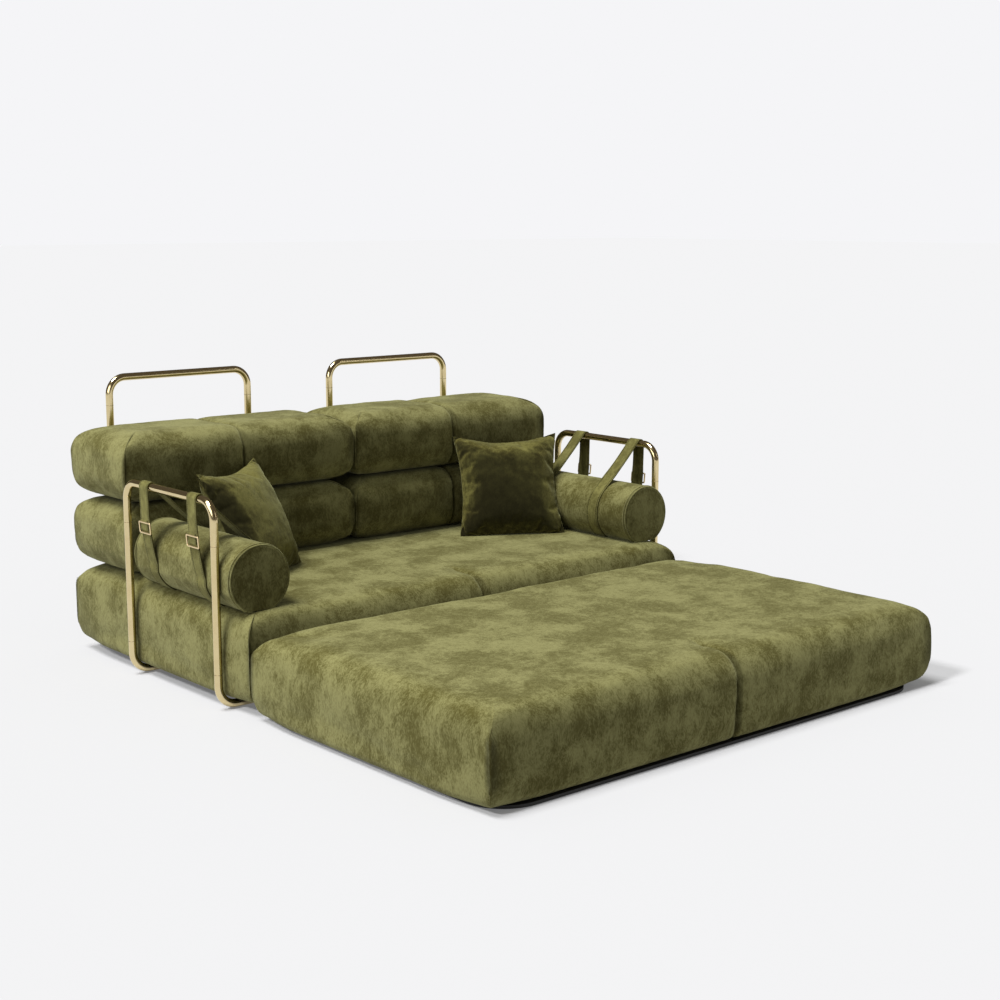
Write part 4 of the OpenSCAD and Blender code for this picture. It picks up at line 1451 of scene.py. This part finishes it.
@dataclass
class ArmRun:
    """The loop of a strap round the arm's bar and the bolster, in X and Z."""

    side: Side
    strap_thick: float = 0.0042
    slack: float = 0.006
    bow: float = 0.0095
    roll_radius: float = BOLSTER_RADIUS
    bar_steps: int = 14
    inner_steps: int = 18
    roll_steps: int = 48
    outer_steps: int = 20

    def __post_init__(self) -> None:
        """Read the bar and the bolster from the CAD."""
        word = self.side.word
        bar_low, bar_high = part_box(f"{word}_arm_bar")
        centre = roll_centre(self.side)
        self.roll = Vector((abs(centre.x), centre.z))
        self.roll_r = self.roll_radius + GAP
        tube = (bar_high.x - bar_low.x) / 2
        self.bar = Vector((abs(bar_low.x + bar_high.x) / 2, bar_high.z - tube))
        self.bar_r = tube + GAP
        away = self.roll - self.bar
        turn = math.acos((self.bar_r - self.roll_r) / away.length)
        toward = math.atan2(away.y, away.x)
        self.in_turn, self.out_turn = sorted((toward + turn, toward - turn), key=math.cos)
        while self.in_turn < self.out_turn:
            self.in_turn += 2 * math.pi
        turns = math.degrees(self.out_turn), math.degrees(self.in_turn)
        log.info("%s strap: outer run at %.1f, inner run at %.1f degrees", word, *turns)

    def at(self, middle: Vector, radius: float, turn: float) -> Vector:
        """Point on a circle.

        Args:
            middle: The circle's middle.
            radius: The circle's radius.
            turn: The angle from +X in radians.

        Returns:
            The point in X and Z, drawn for the right arm.
        """
        return middle + radius * Vector((math.cos(turn), math.sin(turn)))

    def on_roll(self, turn: float, out: float = 0.0) -> Vector:
        """Point on the bolster, flat along the arm's legs.

        Args:
            turn: The angle from +X in radians.
            out: Distance outside the strap's inner face in metres.

        Returns:
            The point in X and Z, drawn for the right arm.
        """
        point = self.at(self.roll, self.roll_r + out, turn)
        point.x = min(point.x, leg_face(self.side) + GAP + out)
        return point

    def outline(self) -> list[Vector]:
        """The loop's inner line, from the bar's outer side over the bar and round the bolster.

        Returns:
            Points in X and Z, drawn for the right arm.
        """
        out, back = self.out_turn, self.in_turn
        n = self.bar_steps
        points = [self.at(self.bar, self.bar_r, out + (back - out) * i / n) for i in range(n + 1)]
        start, end = points[-1], self.on_roll(back)
        inward = -Vector((math.cos(back), math.sin(back)))
        for i in range(1, self.inner_steps):
            t = i / self.inner_steps
            points.append(start.lerp(end, t) + inward * self.slack * math.sin(math.pi * t) * (1 - 0.35 * t))
        stop = out + 2 * math.pi
        n = self.roll_steps
        points += [self.on_roll(back + (stop - back) * i / n) for i in range(n + 1)]
        start, end = points[-1], points[0]
        outward = Vector((math.cos(out), math.sin(out)))
        n = self.outer_steps
        points += [start.lerp(end, i / n) + outward * self.bow_at(i / n) for i in range(1, n)]
        return points

    def bow_at(self, share: float) -> float:
        """How far the outer run bows out, from 0 at the bolster to 1 at the bar."""
        return self.bow * math.sin(math.pi * share ** 0.8)

    def outer_place(self, height: float) -> tuple[Vector, float]:
        """Where the outer run passes a height, and how far it leans.

        Args:
            height: Height above the floor in metres.

        Returns:
            The point on the strap's outer face in X and Z, and the lean from upright in radians.
        """
        top = self.at(self.bar, self.bar_r + self.strap_thick, self.out_turn)
        low = self.on_roll(self.out_turn, self.strap_thick)
        share = (height - low.y) / (top.y - low.y)
        outward = Vector((math.cos(self.out_turn), math.sin(self.out_turn)))
        spot = low.lerp(top, share) + outward * self.bow_at(share)
        step = (self.bow_at(share + 0.05) - self.bow_at(share - 0.05)) / (0.1 * (top.y - low.y))
        return spot, math.atan2(top.x - low.x, top.y - low.y) + math.atan(step)


@dataclass
class Strap:
    """One sewn strap: a closed belt of velvet over webbing."""

    run: ArmRun
    place: str
    width: float = 0.062
    top_width: float = 0.058
    narrow_from: float = 0.57
    narrow_over: float = 0.05
    hem: float = 0.0013
    cuts: tuple[float, ...] = (-0.93, -0.76, -0.4, 0, 0.4, 0.76, 0.93)

    def build(self) -> Piece:
        """Lay the band along its loop.

        Returns:
            The finished strap.
        """
        side = self.run.side
        node = f"{side.word}_{self.place}_strap"
        low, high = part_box(node)
        middle = (low.y + high.y) / 2
        outline = self.run.outline()
        deselect_all()
        bpy.ops.mesh.primitive_circle_add(vertices=len(outline), radius=1, fill_type="NOTHING")
        piece = named(node + "_band")
        flat = np.array([[side.value * p.x, middle - 0.5, p.y] for p in outline])
        write_points(piece, flat)
        edit_all(piece)
        bpy.ops.mesh.extrude_region_move(TRANSFORM_OT_translate={"value": (0, 1.0, 0)})
        bpy.ops.object.mode_set(mode="OBJECT")
        slice_across(piece, 1, [middle + s / 2 for s in self.cuts])
        self.fit_width(piece, middle)
        self.add_uv(piece, outline, middle)
        self.point_faces_out(piece)
        apply_modifier(piece, "SOLIDIFY", thickness=self.run.strap_thick - 0.0002, offset=1.0)
        apply_modifier(piece, "BEVEL", width=self.hem, segments=3, angle_limit=math.radians(50))
        STRAP_VELVET.paint(piece)
        shade(piece, 40)
        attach(piece, "base")
        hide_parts(node)
        log.info("%s: %d faces", piece.name, len(piece.data.polygons))
        return piece

    def fit_width(self, piece: Piece, middle: float) -> None:
        """Bring the band to its width, narrower over the bar.

        Args:
            piece: The band, one metre wide.
            middle: The strap's middle along Y.
        """
        points = read_points(piece)
        high = smooth_step((points[:, 2] - self.narrow_from) / self.narrow_over)
        width = self.width + (self.top_width - self.width) * high
        points[:, 1] = middle + (points[:, 1] - middle) * width
        write_points(piece, points)

    def point_faces_out(self, piece: Piece) -> None:
        """Turn the band's faces away from the loop's inside.

        Args:
            piece: The band.
        """
        roll = self.run.roll
        middle = Vector((self.run.side.value * roll.x, 0, roll.y))
        lowest = min(piece.data.polygons, key=lambda p: p.center.z)
        if (lowest.center - middle).dot(lowest.normal) < 0:
            edit_all(piece)
            bpy.ops.mesh.flip_normals()
            bpy.ops.object.mode_set(mode="OBJECT")

    def add_uv(self, piece: Piece, outline: list[Vector], middle: float) -> None:
        """Map the strap's length and width for its stitches.

        Args:
            piece: The band.
            outline: The loop's line.
            middle: The strap's middle along Y.
        """
        layer = piece.data.uv_layers.new(name="strap")
        line = np.array([[self.run.side.value * p.x, p.y] for p in outline])
        steps = np.linalg.norm(np.roll(line, -1, axis=0) - line, axis=1)
        along = np.concatenate([[0], np.cumsum(steps)[:-1]])
        points = read_points(piece)
        near = np.array([np.argmin(((line - p[[0, 2]]) ** 2).sum(1)) for p in points])
        wide = np.abs(points[:, 1] - middle).max()
        for loop in piece.data.loops:
            i = loop.vertex_index
            layer.data[loop.index].uv = (along[near[i]], (points[i, 1] - middle) / wide)


@dataclass
class Buckle:
    """A plain slide buckle with the strap's free end in it."""

    run: ArmRun
    middle: float
    name: str
    height_up: float = 0.558
    length: float = 0.078
    height: float = 0.043
    bar: float = 0.0055
    thick: float = 0.0048
    corner: float = 0.0065
    proud: float = 0.0029
    end_half: float = 0.024
    end_rear: float = 0.004

    def build(self) -> tuple[Piece, Piece]:
        """Make the buckle's frame and the strap's end.

        Returns:
            The frame and the strap's end, both in place.
        """
        deselect_all()
        bpy.ops.mesh.primitive_plane_add(size=1, rotation=(math.radians(90), 0, math.radians(90)))
        ring = named(self.name)
        points = read_points(ring) * np.array([1, self.length, self.height])
        write_points(ring, points)
        edit_all(ring)
        bpy.ops.mesh.bevel(offset=self.corner, segments=5, affect="VERTICES")
        bpy.ops.mesh.select_all(action="SELECT")
        bpy.ops.mesh.inset(thickness=self.bar)
        bpy.ops.mesh.delete(type="FACE")
        bpy.ops.object.mode_set(mode="OBJECT")
        apply_modifier(ring, "SOLIDIFY", thickness=self.thick, offset=0.0)
        apply_modifier(ring, "BEVEL", width=0.0013, segments=3, angle_limit=math.radians(40))
        ring.data.transform(self.place(self.proud))
        BUCKLE_BRASS.paint(ring)
        shade(ring, 50)
        return ring, self.strap_end()

    def strap_end(self) -> Piece:
        """The strap's free end, tucked up through the frame, with a gap at its front edge.

        Returns:
            The strap's end.
        """
        rear, half = self.end_rear, self.end_half
        low = Vector((0.0004, rear - half, -self.height / 2 + 0.0115))
        high = Vector((0.0030, rear + half, self.height / 2 + 0.006))
        end = new_box(self.name + "_strap_end", low, high)
        slice_across(end, 1, [rear - half * 0.8, rear + half * 0.8])
        slice_across(end, 2, [low.z + 0.004, 0.0, high.z - 0.004])
        apply_modifier(end, "BEVEL", width=0.0010, segments=2, angle_limit=math.radians(40))
        layer = end.data.uv_layers.new(name="strap")
        for loop in end.data.loops:
            point = end.data.vertices[loop.vertex_index].co
            layer.data[loop.index].uv = (point.z, (point.y - rear) / half)
        end.data.transform(self.place(0.0))
        STRAP_VELVET.paint(end)
        shade(end, 40)
        return end

    def place(self, out: float) -> Matrix:
        """The buckle's place on the outer run.

        Args:
            out: Distance from the strap's face in metres.

        Returns:
            The move from the origin, with +X away from the strap.
        """
        spot, lean = self.run.outer_place(self.height_up)
        flip = Matrix.Diagonal((self.run.side.value, 1, 1, 1))
        where = Matrix.Translation((spot.x, self.middle, spot.y)) @ Matrix.Rotation(lean, 4, "Y")
        return flip @ where @ Matrix.Translation((out, 0, 0))


@dataclass
class StrappedArm:
    """One arm: its straps, buckles and bolster."""

    side: Side
    seed: float

    def build(self) -> None:
        """Build the arm's soft pieces and fittings."""
        word = self.side.word
        run = ArmRun(self.side)
        rings, ends = [], []
        for place in ("front", "rear"):
            Strap(run, place).build()
            low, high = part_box(f"{word}_{place}_strap")
            ring, end = Buckle(run, (low.y + high.y) / 2, f"{word}_{place}_buckle").build()
            rings.append(ring)
            ends.append(end)
        groups = ((rings, f"{word}_buckles", "buckle_brass"), (ends, f"{word}_strap_tabs", "strap_velvet"))
        for pieces, node, slot_name in groups:
            for piece in pieces:
                if self.side is Side.LEFT:
                    self.turn_right_way(piece)
                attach(piece, "base")
            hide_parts(node)
        Bolster(self.side, self.seed).build()

    def turn_right_way(self, piece: Piece) -> None:
        """Point a mirrored piece's faces outwards again.

        Args:
            piece: The mirrored piece.
        """
        edit_all(piece)
        bpy.ops.mesh.normals_make_consistent(inside=False)
        bpy.ops.object.mode_set(mode="OBJECT")


@dataclass
class TubeFrame:
    """The fine lines at the tube frame's joints."""

    line_width: float = 0.0006
    squeeze: float = 0.996

    def build(self) -> None:
        """Add a dark line round each joint between two tubes."""
        lines = []
        for side in Side:
            for frame_name, axis in (("arm", 1), ("back", 0)):
                name = f"{side.word}_{frame_name}"
                self.add_lines(lines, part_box(name + "_legs"), axis, name)
        first = join_pieces(lines[0], lines[1:])
        first.name = "tube_joint_lines"
        BRONZE_LINE.paint(first)
        shade(first, 80)
        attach(first, "base")

    def add_lines(self, lines: list[Piece], legs: tuple[Vector, Vector], axis: int, name: str) -> None:
        """Rings at the top and bottom joint of two legs.

        Args:
            lines: Takes the new rings.
            legs: Lowest and highest corner of the pair of legs.
            axis: The axis along which the two legs stand apart.
            name: Start of the rings' names.
        """
        low, high = legs
        other = 1 - axis
        radius = (high[other] - low[other]) / 2
        for end in (low[axis] + radius, high[axis] - radius):
            for z in (low.z, high.z):
                place = Vector((0, 0, z))
                place[axis], place[other] = end, (low[other] + high[other]) / 2
                deselect_all()
                bpy.ops.mesh.primitive_torus_add(
                    major_radius=radius, minor_radius=self.line_width, major_segments=40, minor_segments=6,
                    location=place,
                )
                ring = named(f"{name}_joint_line")
                edit_all(ring)
                bpy.ops.transform.resize(value=(self.squeeze, self.squeeze, 1.0), center_override=place)
                bpy.ops.object.mode_set(mode="OBJECT")
                lines.append(ring)


def dress_cad_nodes() -> None:
    """Give every CAD node that stays its material."""
    by_slot = {
        "brass_tube": BRASS, "buckle_brass": BUCKLE_BRASS, "zinc": ZINC, "black_board": BLACK_BOARD,
        "pine": PINE, "black_plastic": BLACK_PLASTIC, "roller_rubber": ROLLER_RUBBER, "velvet": VELVET,
        "strap_velvet": STRAP_VELVET,
    }
    slots = {part["node"]: part["material_slot"] for part in frame["record"]["subparts"]}
    for name, node in frame["nodes"].items():
        if not node.hide_render:
            by_slot[slots[name]].paint(node)


# Studio


@dataclass
class Studio:
    """Seamless pale floor and backdrop, soft suns on the left, and the photograph's camera."""

    eye: tuple[float, float, float] = (-3.7712, -4.4916, 1.6174)
    pitch: float = 80.2435
    heading: float = -40.711
    lens: float = 59.756
    pale: Rgb = (0.913, 0.913, 0.930)
    floor_albedo: float = 0.32
    floor_glow: float = 0.154
    key_height: float = 68.0
    key_turn: float = 3.0
    key_strength: float = 4.35
    key_spread: float = 24.0
    low_height: float = 41.0
    low_turn: float = -5.0
    low_strength: float = 3.815
    low_spread: float = 9.0
    sky: float = 0.30
    sky_blue: float = 0.92
    room: Rgb = (0.10, 0.085, 0.07)

    def build(self) -> None:
        """Set up the camera, lights, floor and world."""
        self.add_camera()
        floor = self.add_floor()
        self.add_sun("key", self.key_height, self.key_turn, self.key_strength, self.key_spread)
        low = self.add_sun("low_key", self.low_height, self.low_turn, self.low_strength, self.low_spread)
        boxes = [
            self.add_softbox(
                "left_softbox", place=(-2.9, -0.05, 1.8), target=(0.0, 0.0, 0.7), size=(2.6, 1.3), power=32.0
            ),
            self.add_softbox(
                "right_softbox", place=(4.5, -5.0, 3.2), target=(0.0, 0.0, 0.5), size=(0.5, 3.0), power=10.0
            ),
        ]
        self.link_light(boxes, floor, "EXCLUDE")
        self.link_light([low], floor, "INCLUDE")
        self.light_world()
        bpy.context.scene.view_settings.view_transform = "Standard"

    def add_camera(self) -> None:
        """Add the camera."""
        deselect_all()
        turn = (math.radians(self.pitch), 0, math.radians(self.heading))
        bpy.ops.object.camera_add(location=self.eye, rotation=turn)
        camera = bpy.context.object
        camera.data.lens = self.lens
        camera.data.sensor_width = 36.0
        camera.data.clip_end = 200
        bpy.context.scene.camera = camera

    def link_light(self, lights: list[Piece], floor: Piece, state: str) -> None:
        """Keep some lights off the floor, or on the floor alone.

        Args:
            lights: The lights.
            floor: The floor.
            state: EXCLUDE keeps the lights off the floor, INCLUDE keeps them on it alone.
        """
        group = bpy.data.collections.new("floor_" + state.lower())
        group.objects.link(floor)
        for linked in group.collection_objects:
            linked.light_linking.link_state = state
        for light in lights:
            light.light_linking.receiver_collection = group

    def add_floor(self) -> Piece:
        """Add a plain pale floor that glows a little, so that it meets the backdrop unseen.

        Returns:
            The floor.
        """
        deselect_all()
        bpy.ops.mesh.primitive_plane_add(size=160)
        floor = named("floor")
        made, desk = new_material("pale_floor")
        own = tuple(c / self.pale[0] * self.floor_albedo for c in self.pale)
        path = desk.add("ShaderNodeLightPath")
        seen = desk.math("MAXIMUM", path.outputs["Is Camera Ray"], path.outputs["Is Glossy Ray"])
        shader = desk.add(
            "ShaderNodeBsdfPrincipled", Base_Color=own, Roughness=1.0, Specular_IOR_Level=0.0,
            Emission_Color=self.pale, Emission_Strength=desk.math("MULTIPLY", seen, self.floor_glow),
        )
        desk.add("ShaderNodeOutputMaterial", Surface=shader.outputs["BSDF"])
        floor.data.materials.append(made)
        return floor

    def add_sun(self, name: str, height: float, turn: float, strength: float, spread: float) -> Piece:
        """Add a soft sun on the left.

        Args:
            name: The light's name.
            height: Its height above the horizon in degrees.
            turn: How far it stands behind the sofa's left side in degrees.
            strength: Its strength.
            spread: Its size in the sky in degrees.

        Returns:
            The light.
        """
        deselect_all()
        high, turn = math.radians(height), math.radians(turn)
        source = Vector((-math.cos(high) * math.cos(turn), math.cos(high) * math.sin(turn), math.sin(high)))
        aim = source.to_track_quat("Z", "Y").to_euler()
        bpy.ops.object.light_add(type="SUN", location=source * 8, rotation=aim)
        sun = bpy.context.object
        sun.name = name
        sun.data.energy = strength
        sun.data.angle = math.radians(spread)
        return sun

    def add_softbox(
        self, name: str, place: tuple[float, float, float], target: tuple[float, float, float],
        size: tuple[float, float], power: float,
    ) -> Piece:
        """Add a softbox.

        Args:
            name: The light's name.
            place: Where it stands.
            target: Where it points.
            size: Its width and height in metres.
            power: Its power in watts.

        Returns:
            The light.
        """
        deselect_all()
        aim = (Vector(target) - Vector(place)).to_track_quat("-Z", "Y").to_euler()
        bpy.ops.object.light_add(type="AREA", location=place, rotation=aim)
        light = bpy.context.object
        light.name = name
        light.data.shape = "RECTANGLE"
        light.data.size, light.data.size_y = size
        light.data.energy = power
        return light

    def light_world(self) -> None:
        """Show the pale backdrop to the camera, a dim sky to the velvet and a dark room to the metal."""
        world = bpy.data.worlds.new("studio")
        bpy.context.scene.world = world
        world.use_nodes = True
        desk = NodeDesk(world.node_tree)
        path = desk.add("ShaderNodeLightPath")
        dim = (self.sky, self.sky, self.sky * self.sky_blue)
        soft = desk.mix(path.outputs["Is Glossy Ray"], dim, self.room)
        color = desk.mix(path.outputs["Is Camera Ray"], soft, self.pale)
        back = desk.add("ShaderNodeBackground", Color=color, Strength=1.0)
        desk.add("ShaderNodeOutputWorld", Surface=back.outputs["Background"])


def block_list() -> list[PaddedBlock]:
    """The padded blocks, in building order.

    Returns:
        The blocks, not yet built.
    """
    blocks = [
        PaddedBlock("seat_base_block", "base_cover", "base", Channel.FRONT_EDGE, 1.0, spacing=0.045),
        PaddedBlock(
            "front_section_block", "section_cover", "front_section", Channel.FRONT_EDGE, 2.0, spacing=0.045,
            proud=0.005,
        ),
    ]
    for i, side in enumerate(Side):
        for j, row in enumerate(("lower", "upper")):
            node = f"{side.word}_{row}_back_cushion"
            body = f"{row}_back_{side.word[0]}"
            blocks.append(
                PaddedBlock(
                    node + "_cover", node, body, Channel.ALL_ROUND, 3.0 + 2 * i + j, low_radius=0.095,
                    crown=0.007, spacing=0.03, still_height=0.01,
                )
            )
    return blocks


def main() -> None:
    """Build every part of the sofa bed in order."""
    logging.basicConfig(level=logging.INFO, format="%(message)s")
    Studio().build()
    for block in block_list():
        block.build()
    for i, side in enumerate(Side):
        StrappedArm(side, ARM_SEED + i).build()
        ScatterCushion(side, CUSHION_SEED + i).build()
    TubeFrame().build()
    dress_cad_nodes()


if __name__ == "__main__":
    main()
